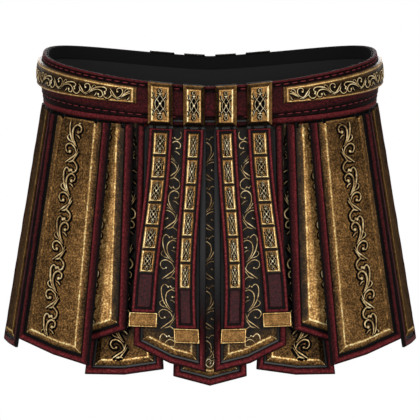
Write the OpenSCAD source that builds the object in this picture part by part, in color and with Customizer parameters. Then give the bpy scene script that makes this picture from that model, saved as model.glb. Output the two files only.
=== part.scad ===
// Waist armour: a leather belt ring hung with stiff leather flaps that carry bevelled brass plates.
// The origin is on the belt's upright axis, at half the belt's height at the hips.
// X runs from the wearer's right to left, the front faces -Y and Z is up.

/* [Belt] */
// Outside width of the belt at its fullest height
belt_w = 392; // [360:1:430]
// Outside depth of the belt from front to back
belt_d = 292; // [260:1:330]
// Squareness of the belt's oval, where 2 is an ellipse
belt_power = 2.7; // [2.5:0.1:2.9]
// Height of the belt at the hips, from the welt's underside to the top edge
belt_h = 59; // [52:1:72]
// How far the top edge dips at the front and the back
top_dip = 22.6; // [14:0.2:24]
// How far the bottom edge dips at the front and the back
bottom_dip = 9.2; // [5:0.2:14]
// Thickness of the belt's outer leather
band_t = 5; // [3.5:0.5:6]
// Thickness of the lining
lining_t = 1.5; // [1:0.25:2.5]
// How far the top edge leans in from the fullest height
top_lean = 3.5; // [0:0.5:6]
// How far the bottom edge leans in from the fullest height
bottom_lean = 4.5; // [3:0.5:6]
// Radius of the rolled welt along the bottom edge
welt_r = 4.5; // [4:0.25:6]
// Radius of the small roll between the keepers
roll_r = 2.5; // [1.5:0.25:3.5]

/* [Yoke] */
// Distance from the top edge down to the yoke's top
yoke_drop = 16; // [10:1:22]
// Thickness of the yoke at its bottom, where the flaps hang
yoke_t = 11; // [10:0.5:14]
// Thickness of the yoke at its top
yoke_top_t = 2.5; // [1.5:0.5:5]

/* [Hip plaques] */
// Distance along the belt from the front centre to a plaque's end
plaque_start = 84; // [76:1:110]
// Distance from the top edge down to the plaque
plaque_drop = 7.5; // [5:0.5:12]
// Distance from the welt's underside up to the plaque
plaque_rise = 24; // [18:0.5:28]
// Height that a plaque stands off the leather
plaque_t = 4.2; // [3:0.2:6]
// Width of a plaque's bevel
plaque_bevel = 4; // [2:0.5:6]

/* [Keepers] */
// Width of the two inner keepers
inner_keeper_w = 24.2; // [20:0.2:28]
// Width of the two outer keepers
outer_keeper_w = 28.3; // [24:0.1:32]
// Gap between the two inner keepers
keeper_gap = 12.2; // [8:0.2:18]
// Gap between an inner keeper and the outer one beside it
side_keeper_gap = 11.9; // [8:0.1:14]
// Height that a keeper stands off the leather
keeper_t = 5.5; // [4:0.5:8]
// Width of a keeper's bevel
keeper_bevel = 4.6; // [3:0.2:6]
// How far a keeper rises over the top edge
keeper_lip = 1; // [0.8:0.1:3]
// Height of a keeper's bottom edge above the welt's underside
keeper_rise = 0.5; // [0.2:0.1:1]

/* [Flap build] */
// Thickness of a flap's leather board
board_t = 3.2; // [2.5:0.1:3.6]
// Width of the red border round a flap
border_w = 7.5; // [5:0.5:9]
// Height of the border above the board
border_h = 1.8; // [1:0.1:2.2]
// Width of the bare channel between the border and the plate
channel_w = 3; // [1:0.5:5]
// Height of a plate above the board
plate_t = 2.6; // [1.6:0.1:2.8]
// Width of a plate's bevel
plate_bevel = 6; // [3:0.5:8]
// Radius of the prongs that hold a plate
prong_r = 1.5; // [1:0.1:2]
// Distance of the prongs from the plate's edges
prong_inset = 9; // [7:0.5:12]

/* [Hinges] */
// Radius of the staple wire that a flap hangs on
bar_r = 1; // [0.8:0.05:1.1]
// Radius of the rolled loop round the wire
loop_r = 2; // [1.9:0.05:2.2]
// Distance between the layers of flaps
layer_pitch = 6.7; // [6.6:0.1:7]
// Distance of the outer layer's hinges inside the belt's fullest outline
outer_inset = 7.8; // [7:0.1:9]
// Distance of the outer layer's hinges under the welt
outer_drop = 2.6; // [2.4:0.1:4]
// How much lower the layers under it hinge
under_drop = 3.4; // [3.2:0.1:5]
// How deep a staple's legs are driven into what carries them
leg_depth = 5; // [3:0.5:6.5]
// Outward slant of the outer flaps
outer_flare = 11; // [8:0.5:14]
// Slant that each layer under another loses
flare_step = 0.8; // [0.5:0.1:2]

/* [Centre flap] */
// Width at the hinge
centre_top_w = 70; // [60:1:84]
// Width at the bottom
centre_bottom_w = 84; // [70:1:88]
// Length of its side edges
centre_side_len = 281; // [250:1:300]
// Length down to its point
centre_tip_len = 292; // [270:1:310]

/* [Apron flaps] */
// Gap between the two front apron flaps
apron_gap = 10; // [8:0.5:14]
// Width at the hinge
apron_top_w = 78; // [70:1:82]
// Width at the bottom
apron_bottom_w = 83; // [74:1:86]
// Length of the edge towards the hip
apron_outer_len = 247; // [220:1:260]
// Length down to the kink in the bottom edge
apron_mid_len = 266; // [240:1:280]
// Length of the edge towards the centre
apron_inner_len = 275; // [250:1:290]

/* [Under flaps] */
// Distance along the belt from the front centre to the middle
under_place = 93; // [90:1:96]
// Width at the hinge
under_top_w = 40; // [32:1:44]
// Width at the bottom
under_bottom_w = 92; // [70:1:96]
// Length of the edge towards the hip
under_outer_len = 286; // [260:1:300]
// Length down to the kink in the bottom edge
under_mid_len = 283; // [260:1:300]
// Length of the edge towards the centre
under_inner_len = 273; // [250:1:290]

/* [Quarter flaps] */
// Gap along the belt between an apron flap and a quarter flap
quarter_gap = 8; // [6:0.5:12]
// Width at the hinge
quarter_top_w = 56; // [46:1:60]
// Width at the bottom
quarter_bottom_w = 74; // [60:1:80]
// Length of the edge towards the hip
quarter_outer_len = 258; // [230:1:270]
// Length of the edge towards the centre
quarter_inner_len = 229; // [200:1:250]
// Turn towards the hip beyond the belt's own curve
quarter_turn = 3; // [2:0.5:5]

/* [Hip flaps] */
// Distance along the belt from the front centre to the middle
hip_place = 158; // [154:1:164]
// Width at the hinge
hip_top_w = 86; // [74:1:90]
// Width at the bottom
hip_bottom_w = 104; // [90:1:110]
// Length of the edge towards the side
hip_outer_len = 259.5; // [220:0.5:265]
// Length down to the kink in the bottom edge
hip_mid_len = 270; // [240:1:280]
// Length of the edge towards the front
hip_inner_len = 275; // [250:1:290]
// Turn towards the side beyond the belt's own curve
hip_turn = 1; // [0:0.5:3]

/* [Side flaps] */
// Distance along the belt from the front centre to the middle
side_place = 243.6; // [240:1:246]
// Turn of the side flap further towards the back, degrees
side_turn = 0.5; // [-3:0.5:3]
// Width at the hinge
side_top_w = 78; // [60:1:82]
// Width at the bottom
side_bottom_w = 81; // [70:1:83]
// How much further it reaches towards the front at the bottom
side_reach = 11.5; // [6:0.5:14]
// Length of the edge towards the front
side_inner_len = 271; // [240:1:280]
// Length down to the kink in the bottom edge
side_mid_len = 276; // [250:1:290]
// Length of the edge towards the rear
side_outer_len = 278; // [240:1:280]
// Outward slant, less than the other outer flaps have
side_flare = 9.4; // [8:0.2:12]

/* [Straps] */
// Width of the two inner straps
inner_strap_w = 24; // [20:0.2:26]
// Width of the two outer straps
outer_strap_w = 27.4; // [24:0.2:30]
// Length of the inner straps to the tip's end
inner_strap_len = 245; // [200:1:250]
// Length of the outer straps to the tip's end
outer_strap_len = 228; // [190:1:230]
// Sideways lean of the inner straps
inner_strap_lean = 1.3; // [0:0.1:2]
// Sideways bow of the inner strap
inner_strap_bow = 3.8; // [0:0.1:6]
// Sideways wave of both straps
strap_wave = 1.5; // [0:0.1:3]
// Sideways lean of the outer straps
outer_strap_lean = 4.7; // [2:0.1:6]
// Thickness of a strap's leather
strap_t = 2.4; // [2:0.1:2.6]
// Width of a strap's red border
strap_border_w = 4.4; // [3:0.2:5]
// Height of the border above the strap
strap_border_h = 1.2; // [0.8:0.1:1.6]
// Height of the small plates above the strap
mount_t = 1.8; // [1:0.1:2.2]
// Width of the small plates' bevel
mount_bevel = 1.4; // [0.8:0.1:2]
// Number of small plates on a strap
mount_count = 6; // [3:1:6]
// Gap between one small plate and the next
mount_gap = 1.6; // [1:0.2:4]
// Length of the plain panel over the tip
panel_len = 40; // [24:1:44]
// Length of a strap's brass tip
tip_len = 16; // [12:0.5:20]
// How far the tip stands out at each side of the strap
tip_wrap = 2.2; // [1.6:0.2:3]
// Thickness of the tip's bottom wall
tip_wall = 1.2; // [0.8:0.1:1.6]

/* [Hidden] */
$fn = 32;
flap_kinds = ["apron", "under", "quarter", "hip", "side"];
sides = ["left", "right"];
strap_kinds = ["inner", "outer"];
faces = ["front", "rear"];
parts = ["leather", "plate"];
strap_parts = ["strap", "mounts"];

red_leather = "#5a1d22";
dark_leather = "#262324";
brass = "#a5803f";
steel = "#8a8a88";

// clearances
seat_gap = 0.15;
bar_gap = 0.3;
yoke_gap = 0.2;
step_gap = 0.3;
bore_gap = 0.05;
notch_gap = 0.7;
notch_rise = 0.5;
prong_gap = 0.05;
tip_gap = 0.1;
// small depth by which pieces of one solid run into each other
merge = 0.01;
// how far a cut runs past what it cuts
over = 1;

half_w = belt_w / 2;
half_d = belt_d / 2;
top_dip_power = 1.43;
bottom_dip_power = 1.7;
full_share = 0.55;
// half the width of the welt's flat, on which the band stands
welt_flat = 3.7;
band_lift = welt_r + sqrt(welt_r * welt_r - welt_flat * welt_flat);
// share of a bar's or keeper's height at its outer edges, and of a plate's at its rim
edge_share = 0.45;
rim_share = 0.25;
// places of a flap's two notches, as a share of its width from the middle
leg_share = 0.28;
lining_drop = 1;
roll_cut = 1.8;
roll_forward = 1;
loop_sink = 0.3;
table_steps = 360;
ring_stations = 84;

// point of the belt's fullest outline at an angle from the front centre
function oval_point(a) =
    let (reach = 1 / pow(pow(abs(sin(a)) / half_w, belt_power)
        + pow(abs(cos(a)) / half_d, belt_power), 1 / belt_power))
    [reach * sin(a), -reach * cos(a)];

function running_total(list, i = 0, sum = 0, out = []) =
    i == len(list) ? concat(out, [sum]) : running_total(list, i + 1, sum + list[i], concat(out, [sum]));

oval_points = [for (i = [0:table_steps]) oval_point(180 * i / table_steps)];
oval_steps = [for (i = [1:table_steps]) norm(oval_points[i] - oval_points[i - 1])];
oval_lengths = running_total(oval_steps);
half_girth = oval_lengths[table_steps];
angle_table = [for (i = [0:table_steps]) [oval_lengths[i], 180 * i / table_steps]];

// point on the outline at a distance along the belt from the front centre, + towards +X
function outline_at(s) =
    let (p = oval_point(lookup(abs(s), angle_table)))
    [s < 0 ? -p[0] : p[0], p[1]];

// angle between straight ahead and the outline's outward normal there
function facing_at(s) =
    let (p = outline_at(s))
    let (nx = sign(p[0]) * pow(abs(p[0]) / half_w, belt_power - 1) / half_w)
    let (ny = sign(p[1]) * pow(abs(p[1]) / half_d, belt_power - 1) / half_d)
    atan2(nx, -ny);

function outward(a) = [sin(a), -cos(a)];

function dip_at(s, power) = 1 - pow(min(1, abs(outline_at(s)[0]) / half_w), power);
function top_at(s) = belt_h / 2 - top_dip * dip_at(s, top_dip_power);
function bottom_at(s) = -belt_h / 2 - bottom_dip * dip_at(s, bottom_dip_power);

// inward lean of the belt's wall at a height
function lean_at(s, z) =
    let (share = (z - bottom_at(s)) / (top_at(s) - bottom_at(s)))
    share > full_share
        ? top_lean * pow((share - full_share) / (1 - full_share), 2)
        : bottom_lean * pow((full_share - share) / full_share, 2);

// place in space of a depth (outward from the wall) and a height at a station
function wall_point(s, depth, z) =
    let (p = outline_at(s), n = outward(facing_at(s)), d = depth - lean_at(s, z))
    [p[0] + n[0] * d, p[1] + n[1] * d, z];

// the same, with the depth taken from the upright outline
function plumb_point(s, depth, z) =
    let (p = outline_at(s), n = outward(facing_at(s)))
    [p[0] + n[0] * depth, p[1] + n[1] * depth, z];

// joins equal loops of points into one closed solid, as a ring or capped at both ends
module loft(loops, closed = false) {
    rows = len(loops);
    cols = len(loops[0]);
    last = closed ? rows - 1 : rows - 2;
    walls = [for (i = [0:last], j = [0:cols - 1], half = [0, 1])
        let (a = i * cols + j, b = i * cols + (j + 1) % cols)
        let (c = ((i + 1) % rows) * cols + j, d = ((i + 1) % rows) * cols + (j + 1) % cols)
        half == 0 ? [a, c, b] : [b, c, d]];
    caps = closed ? [] : [[for (j = [0:cols - 1]) j],
        [for (j = [cols - 1:-1:0]) (rows - 1) * cols + j]];
    polyhedron([for (row = loops) each row], concat(walls, caps));
}

ring = [for (i = [ring_stations - 1:-1:0]) half_girth * (2 * i / ring_stations - 1)];
function spaced(from, to, count) = [for (i = [0:count]) from + (to - from) * i / count];

band_shares = [0, 0.25, 0.5, 0.75, 1];
function band_bottom(s) = bottom_at(s) + band_lift;
function band_height(s, share) = band_bottom(s) + share * (top_at(s) - band_bottom(s));

// wall of even thickness between two depths, following the belt's lean
module wall_ring(outer, inner, drop) {
    loft([for (s = ring) concat(
        [for (share = band_shares) wall_point(s, outer, band_height(s, share) - drop * share)],
        [for (i = [4:-1:0]) wall_point(s, inner, band_height(s, band_shares[i]) - drop * band_shares[i])])],
        closed = true);
}

module belt_band() {
    color(red_leather) wall_ring(0, -band_t, 0);
}

module belt_lining() {
    color(dark_leather) wall_ring(-band_t - seat_gap, -band_t - lining_t, lining_drop);
}

// the yoke stands inside the lining and reaches down to the welt's underside behind it
yoke_front = -outer_inset - welt_r - yoke_gap;
module flap_yoke() {
    color(dark_leather) loft([for (s = ring)
        let (low = bottom_at(s), step = band_bottom(s) + step_gap, top = top_at(s) - yoke_drop)
        let (back = -band_t - lining_t - seat_gap)
        [plumb_point(s, yoke_front, low),
         plumb_point(s, yoke_front, step),
         wall_point(s, back, step),
         wall_point(s, back, (step + top) / 2),
         wall_point(s, back, top),
         wall_point(s, back - yoke_top_t, top),
         plumb_point(s, yoke_front - yoke_t, step),
         plumb_point(s, yoke_front - yoke_t, low)]], closed = true);
}

// a roll under the band, cut flat at a height; a lower one has a seam that rises to the band
module roll(from, to, count, r, lift, centre_depth) {
    arc_top = asin(min(1, (lift - r) / r));
    arc = [for (a = spaced(-180 - arc_top, arc_top, 11)) [r * cos(a), r + r * sin(a)]];
    seam = [for (side = [1, -1]) if (lift < band_lift) [side * r * cos(arc_top), band_lift]];
    loft([for (s = spaced(max(from, to), min(from, to), count))
        [for (p = concat(arc, seam)) plumb_point(s, centre_depth + p[0], bottom_at(s) + p[1])]]);
}

keeper_s = [keeper_gap / 2 + inner_keeper_w / 2,
    keeper_gap / 2 + inner_keeper_w + side_keeper_gap + outer_keeper_w / 2];
keeper_w = [inner_keeper_w, outer_keeper_w];
keepers_end = keeper_s[1] + outer_keeper_w / 2;

module belt_welt() {
    color(red_leather) {
        for (side = [-1, 1])
            roll(side * (keepers_end + seat_gap), side * (half_girth - keepers_end - seat_gap),
                36, welt_r, band_lift, -outer_inset);
        for (side = [-1, 1], rear = [0, 1])
            small_roll(side, rear, keeper_gap / 2 + inner_keeper_w, side_keeper_gap);
        for (rear = [0, 1]) small_roll(1, rear, -keeper_gap / 2, keeper_gap);
    }
}

// small rolls fill the gaps between the keepers, tight under the band
module small_roll(side, rear, start, length) {
    a = side * (start + seat_gap);
    b = side * (start + length - seat_gap);
    flip = rear == 1 ? half_girth : 0;
    roll(rear == 1 ? flip - a : a, rear == 1 ? flip - b : b, 2, roll_r,
        min(band_lift, roll_cut * roll_r), roll_forward - outer_inset);
}

// bevelled bar on the wall between two stations
module wall_bar(from, to, count, low, high, thick, bevel) {
    edge = thick * edge_share;
    inner = spaced(to - bevel, from + bevel, count);
    stations = concat([to], inner, [from]);
    loft([for (i = [0:len(stations) - 1])
        let (s = stations[i], full = i > 0 && i < len(stations) - 1)
        let (z0 = bottom_at(s) + low, z1 = top_at(s) - high, mid = (z0 + z1) / 2)
        [wall_point(s, bar_gap, z0),
         wall_point(s, edge, z0),
         wall_point(s, full ? thick : edge, z0 + bevel),
         wall_point(s, full ? thick : edge, mid),
         wall_point(s, full ? thick : edge, z1 - bevel),
         wall_point(s, edge, z1),
         wall_point(s, bar_gap, z1),
         wall_point(s, bar_gap, mid)]]);
}

module hip_plaques() {
    for (side = [-1, 1])
        color(brass) wall_bar(side * (side == 1 ? plaque_start : half_girth - plaque_start),
            side * (side == 1 ? half_girth - plaque_start : plaque_start),
            48, plaque_rise, plaque_drop, plaque_t, plaque_bevel);
}

// a keeper: a bevelled face on the band with a lip bent over the belt's top edge
module keeper(s0, width) {
    edge = keeper_t * edge_share;
    reach = -band_t - lining_t;
    half = width / 2;
    stations = [s0 + half, s0 + half - keeper_bevel, s0 - half + keeper_bevel, s0 - half];
    loft([for (i = [0:3])
        let (s = stations[i], face = i == 1 || i == 2 ? keeper_t : edge)
        let (z0 = bottom_at(s) + keeper_rise, z1 = top_at(s) + keeper_lip)
        [plumb_point(s, seat_gap, z0),
         plumb_point(s, edge, z0),
         plumb_point(s, face, z0 + keeper_bevel),
         plumb_point(s, face, z1 - keeper_bevel),
         plumb_point(s, edge, z1),
         plumb_point(s, reach - top_lean, z1),
         plumb_point(s, reach - top_lean, top_at(s) + seat_gap),
         plumb_point(s, seat_gap, top_at(s) + seat_gap)]]);
}

module front_keepers() {
    for (side = [-1, 1], i = [0, 1])
        color(brass) keeper(side * keeper_s[i], keeper_w[i]);
}

module rear_keepers() {
    mirror([0, 1, 0]) front_keepers();
}

// outlines: [across, down] points from the hinge, the front or inner edge at -across
function drawn_in(points, d) =
    [for (i = [0:len(points) - 1])
        let (count = len(points), p = points[i])
        let (a = points[(i + count - 1) % count], b = points[(i + 1) % count])
        let (u = (p - a) / norm(p - a), v = (b - p) / norm(b - p))
        let (m = [-u[1], u[0]], k = [-v[1], v[0]])
        p + d * (m + k) / (1 + m * k)];

// a flap's outline hangs plumb though its hinge follows the slope of the belt's edge
function flap_outline(flap) =
    let (k = tan(slope_of(flap)), half = flap[4] / 2, reach = flap[8])
    [[-flap[3] / 2, 0], [-half - reach - flap[5] * k, -flap[5]], [-flap[6] * k, -flap[6]],
     [half - flap[7] * k, -flap[7]], [flap[3] / 2, 0]];

// how far below the hinge a flap's border and its plate start
border_start = 0.4;
plate_start = loop_r - loop_sink;

// the outline with its top edge moved down from the hinge
function below_hinge(points, drop) =
    [for (p = points) p[1] == 0 ? [p[0], -drop] : p];

// the outline drawn in at the sides and the bottom only, with its top edge at a distance below the hinge
function open_in(points, drop, d) = drawn_in(below_hinge(points, drop - d), d);

module slab(points, back, thick) {
    translate([0, back, 0]) rotate([90, 0, 0]) linear_extrude(thick) polygon(points);
}

// bevelled plate standing on a board's front, from its outline and its face's outline
module bevelled(points, top, back, thick) {
    loft([[for (p = points) [p[0], back, p[1]]],
        [for (p = points) [p[0], back - thick * rim_share, p[1]]],
        [for (p = top) [p[0], back - thick, p[1]]]]);
}

// places of a plate's prongs: its corners drawn in
function prongs(points) = drawn_in(points, prong_inset);

module hinge_loop(width) {
    rotate([0, 90, 0]) cylinder(r = loop_r, h = width, center = true);
}

module hinge_cuts(width) {
    rotate([0, 90, 0]) cylinder(r = bar_r + bore_gap, h = width + 2 * over, center = true);
    for (side = [-1, 1])
        translate([side * leg_share * width - bar_r - notch_gap, -2 * loop_r, -bar_r - notch_rise])
            cube([2 * (bar_r + notch_gap), 4 * loop_r, 3 * loop_r]);
}

module flap_leather(points, width) {
    rim = below_hinge(points, border_start);
    difference() {
        union() {
            slab(points, board_t / 2, board_t);
            difference() {
                slab(rim, merge - board_t / 2, border_h + merge);
                slab(open_in(points, -over, border_w), 0, board_t + border_h + over);
            }
            hinge_loop(width);
        }
        hinge_cuts(width);
        for (p = prongs(plate_outline(points)))
            translate([p[0], board_t, p[1]]) rotate([90, 0, 0])
                cylinder(r = prong_r + prong_gap, h = 2 * board_t);
    }
}

function plate_outline(points) = open_in(points, plate_start, border_w + channel_w);

module flap_plate(points) {
    plate = plate_outline(points);
    bevelled(plate, open_in(points, plate_start, border_w + channel_w + plate_bevel), -board_t / 2, plate_t);
    for (p = prongs(plate))
        translate([p[0], board_t / 2, p[1]]) rotate([90, 0, 0])
            cylinder(r = prong_r, h = board_t + plate_t / 2);
}

apron_s = apron_gap / 2 + apron_top_w / 2;
quarter_s = apron_gap / 2 + apron_top_w + quarter_gap + quarter_top_w / 2;

// flap kinds: [distance along the belt, turn, layer, top width, bottom width,
// inner, mid and outer length, reach]
function flap_of(kind) =
    kind == "centre" ? [0, 0, 2, centre_top_w, centre_bottom_w,
        centre_side_len, centre_tip_len, centre_side_len, 0] :
    kind == "apron" ? [apron_s, 0, 1, apron_top_w, apron_bottom_w,
        apron_inner_len, apron_mid_len, apron_outer_len, 0] :
    kind == "under" ? [under_place, 0, 2, under_top_w, under_bottom_w,
        under_inner_len, under_mid_len, under_outer_len, 0] :
    kind == "quarter" ? [quarter_s, quarter_turn, 1, quarter_top_w, quarter_bottom_w,
        quarter_inner_len, (quarter_inner_len + quarter_outer_len) / 2 + 1, quarter_outer_len, 0] :
    kind == "hip" ? [hip_place, hip_turn, 0, hip_top_w, hip_bottom_w,
        hip_inner_len, hip_mid_len, hip_outer_len, 0] :
    [side_place, side_turn, 0, side_top_w, side_bottom_w,
        side_inner_len, side_mid_len, side_outer_len, side_reach];

function layer_inset(layer) = outer_inset + layer * layer_pitch;
function layer_drop(layer) = outer_drop + (layer > 0 ? under_drop : 0);
function layer_flare(layer) = outer_flare - layer * flare_step;
function flare_of(kind) = kind == "side" ? side_flare : layer_flare(flap_of(kind)[2]);

// slope of the welt's underside under a flap, from its two ends
function slope_of(flap) =
    atan((bottom_at(flap[0] + flap[3] / 2) - bottom_at(abs(flap[0] - flap[3] / 2))) / flap[3]);
function hinge_height(flap) =
    min(bottom_at(flap[0]), (bottom_at(flap[0] + flap[3] / 2) + bottom_at(abs(flap[0] - flap[3] / 2))) / 2)
        - layer_drop(flap[2]);
function flap_facing(flap) = facing_at(flap[0]) + flap[1];
function hinge_point(flap) =
    plumb_point(flap[0], -layer_inset(flap[2]), hinge_height(flap));

// puts what is drawn hanging from the origin at a hinge on the +X side of the front
module hung(point, facing, slope, flare) {
    translate(point) rotate([0, 0, facing]) rotate([0, -slope, 0]) rotate([-flare, 0, 0]) children();
}

module placed(face, side) {
    mirror([side == "left" ? 1 : 0, 0, 0]) mirror([0, face == "rear" ? 1 : 0, 0]) children();
}

module one_flap(face, side, kind, part) {
    flap = flap_of(kind);
    placed(face, side) hung(hinge_point(flap), flap_facing(flap), slope_of(flap), flare_of(kind)) {
        if (part == "leather") color(red_leather) flap_leather(flap_outline(flap), flap[3]);
        if (part == "plate") color(brass) flap_plate(flap_outline(flap));
    }
}

strap_set_back = 0.1;
tip_cover = 0.8;

// straps: [distance along the belt, width, length to the tip's end, sideways lean, bow]
function strap_of(kind) =
    kind == "inner" ? [keeper_s[0], inner_strap_w, inner_strap_len, inner_strap_lean - slope_of(apron),
        inner_strap_bow]
        : [keeper_s[1], outer_strap_w, outer_strap_len, outer_strap_lean - slope_of(apron), 0];

strap_inset = outer_inset + strap_set_back;
function strap_height(strap) = bottom_at(strap[0]) - outer_drop;

// straps face and slant as the apron flap under them does
apron = flap_of("apron");
module hung_strap(side, kind) {
    strap = strap_of(kind);
    placed("front", side)
        hung(plumb_point(strap[0], -strap_inset, strap_height(strap)), flap_facing(apron), slope_of(apron),
            layer_flare(1)) children();
}

// how far a strap's middle has moved sideways at a distance down it
function strap_sway(strap, d) =
    let (turn = 180 * d / strap[2])
    d * tan(strap[3]) + strap[4] * sin(turn) - strap_wave * sin(2 * turn);

// outline along a strap between two distances down it
function strip(strap, width, from, to, count = 1) =
    concat([for (d = spaced(from, to, count)) [strap_sway(strap, d) - width / 2, -d]],
        [for (d = spaced(to, from, count)) [strap_sway(strap, d) + width / 2, -d]]);
strap_bends = 10;

strap_board_share = 0.6;
// how far a strap's border and loop stand back from its edges
rim_step = 0.3;
strap_border_start = loop_r - loop_sink;

module strap_leather(strap) {
    end = strap[2] - tip_wall - tip_gap;
    outline = strip(strap, strap[1], 0, end, strap_bends);
    rim_end = strap[2] - tip_len - tip_gap;
    rim = strip(strap, strap[1] - 2 * rim_step, strap_border_start, rim_end, strap_bends);
    panel_top = rim_end - strap_border_w - panel_len;
    difference() {
        union() {
            slab(outline, strap_t / 2, strap_t);
            difference() {
                slab(rim, 0, strap_t / 2 + strap_border_h);
                slab(drawn_in(rim, strap_border_w), over, strap_t + strap_border_h + 2 * over);
            }
            slab(strip(strap, strap[1] - 2 * strap_border_w - 2 * mount_gap, panel_top,
                rim_end - strap_border_w - mount_gap), 0, strap_t / 2 + strap_border_h * strap_board_share);
            hinge_loop(strap[1] - 2 * rim_step);
        }
        hinge_cuts(strap[1]);
        for (i = [0:mount_count - 1])
            strap_prong(strap, i, prong_r * strap_board_share + prong_gap, over);
    }
}

// the small plates lie in a row between the top border and the plain panel
function mount_run(strap) =
    let (from = strap_border_start + strap_border_w + step_gap)
    let (to = strap[2] - tip_len - tip_gap - strap_border_w - panel_len - mount_gap)
    [from, (to - from + mount_gap) / mount_count];
function mount_outline(strap, i) =
    let (run = mount_run(strap), width = strap[1] - 2 * strap_border_w - 2 * mount_gap)
    strip(strap, width, run[0] + i * run[1], run[0] + (i + 1) * run[1] - mount_gap);

module strap_prong(strap, i, r, past) {
    run = mount_run(strap);
    down = run[0] + (i + 0.5) * run[1] - mount_gap / 2;
    translate([strap_sway(strap, down), strap_t / 2 + past, -down]) rotate([90, 0, 0])
        cylinder(r = r, h = strap_t + 2 * past + mount_t / 2);
}

module strap_mounts(strap) {
    for (i = [0:mount_count - 1]) {
        mount = mount_outline(strap, i);
        bevelled(mount, drawn_in(mount, mount_bevel), -strap_t / 2, mount_t);
        strap_prong(strap, i, prong_r * strap_board_share, 0);
    }
    from = strap[2] - tip_len;
    difference() {
        slab(strip(strap, strap[1] + 2 * tip_wrap, from, strap[2]), strap_t / 2,
            strap_t + strap_border_h + tip_cover);
        slab(strip(strap, strap[1] + 2 * tip_gap, from - over, strap[2] - tip_wall),
            strap_t / 2 + over, strap_t + over + tip_gap);
    }
}

module one_strap(side, kind, part) {
    strap = strap_of(kind);
    hung_strap(side, kind) {
        if (part == "strap") color(red_leather) strap_leather(strap);
        if (part == "mounts") color(brass) strap_mounts(strap);
    }
}

// a wire staple: a bar through a hinge loop and two legs driven up into the belt
module staple(point, facing, slope, width, top) {
    translate(point) rotate([0, 0, facing]) {
        rotate([0, -slope, 0]) rotate([0, 90, 0]) cylinder(r = bar_r, h = width - over, center = true);
        for (side = [-1, 1])
            translate([side * leg_share * width * cos(slope), 0, side * leg_share * width * sin(slope)])
                cylinder(r = bar_r, h = top);
    }
}

module flap_staple(face, side, kind) {
    flap = flap_of(kind);
    placed(face, side)
        staple(hinge_point(flap), flap_facing(flap), slope_of(flap), flap[3],
            layer_drop(flap[2]) + leg_depth);
}

module strap_staple(side, kind) {
    strap = strap_of(kind);
    placed("front", side)
        staple(plumb_point(strap[0], -strap_inset, strap_height(strap)), flap_facing(apron), slope_of(apron),
            strap[1], outer_drop + band_lift + leg_depth);
}

module hanger_staples() {
    color(steel) {
        for (face = faces) flap_staple(face, "right", "centre");
        for (face = faces, side = sides, kind = flap_kinds) flap_staple(face, side, kind);
        for (side = sides, kind = strap_kinds) strap_staple(side, kind);
    }
}

belt_band();
belt_lining();
flap_yoke();
belt_welt();
hip_plaques();
front_keepers();
rear_keepers();
hanger_staples();
for (face = faces, part = parts)
    one_flap(face, "right", "centre", part);
for (face = faces, side = sides, kind = flap_kinds, part = parts)
    one_flap(face, side, kind, part);
for (side = sides, kind = strap_kinds, part = strap_parts)
    one_strap(side, kind, part);
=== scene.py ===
import bpy
import bmesh
import math
from mathutils import Matrix, Vector, noise


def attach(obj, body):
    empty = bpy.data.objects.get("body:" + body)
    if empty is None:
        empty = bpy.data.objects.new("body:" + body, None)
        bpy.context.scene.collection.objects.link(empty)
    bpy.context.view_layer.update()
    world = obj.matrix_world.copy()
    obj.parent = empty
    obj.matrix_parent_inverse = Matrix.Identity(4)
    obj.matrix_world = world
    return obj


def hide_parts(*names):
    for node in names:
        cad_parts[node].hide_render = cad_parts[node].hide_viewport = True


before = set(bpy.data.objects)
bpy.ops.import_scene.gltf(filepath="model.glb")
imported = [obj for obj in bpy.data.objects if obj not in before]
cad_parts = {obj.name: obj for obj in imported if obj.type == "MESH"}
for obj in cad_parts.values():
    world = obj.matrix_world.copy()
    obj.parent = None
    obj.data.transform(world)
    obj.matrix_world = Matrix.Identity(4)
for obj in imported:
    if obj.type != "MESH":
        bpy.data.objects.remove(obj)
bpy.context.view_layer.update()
print("frame loaded:", len(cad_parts), "CAD nodes")

# everything below is worked out in millimetres and turned to metres when a mesh is made
mm = 0.001


# camera: degrees above level, metres away and below the middle, mm of focal length on a 36 mm sensor
lens = dict(elevation=8.236, distance=8.4802, drop=0.1538, focal=629.0, sensor=36, farthest=60)

camera = bpy.data.objects.new("photoCamera", bpy.data.cameras.new("photoCamera"))
bpy.context.scene.collection.objects.link(camera)
tilt = math.radians(lens["elevation"])
upward = Vector((0, math.sin(tilt), math.cos(tilt)))
backward = Vector((0, -math.cos(tilt), math.sin(tilt)))
camera.location = backward * lens["distance"] - upward * lens["drop"]
camera.rotation_euler = (math.radians(90) - tilt, 0, 0)
camera.data.lens = lens["focal"]
camera.data.sensor_width = lens["sensor"]
camera.data.clip_end = lens["farthest"]
bpy.context.scene.camera = camera
print("camera placed")


# materials
def linear(hexColour):
    # sRGB hex to linear RGBA
    parts = [int(hexColour[i:i + 2], 16) / 255 for i in (1, 3, 5)]
    return [c / 12.92 if c <= 0.04045 else ((c + 0.055) / 1.055) ** 2.4 for c in parts] + [1]


def addNode(tree, kind, inputs=None, **settings):
    # inputs are values or the sockets that feed them
    made = tree.nodes.new(kind)
    for name, value in settings.items():
        setattr(made, name, value)
    for socket, value in (inputs or {}).items():
        if isinstance(value, bpy.types.NodeSocket):
            tree.links.new(value, made.inputs[socket])
        else:
            made.inputs[socket].default_value = value
    return made


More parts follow.
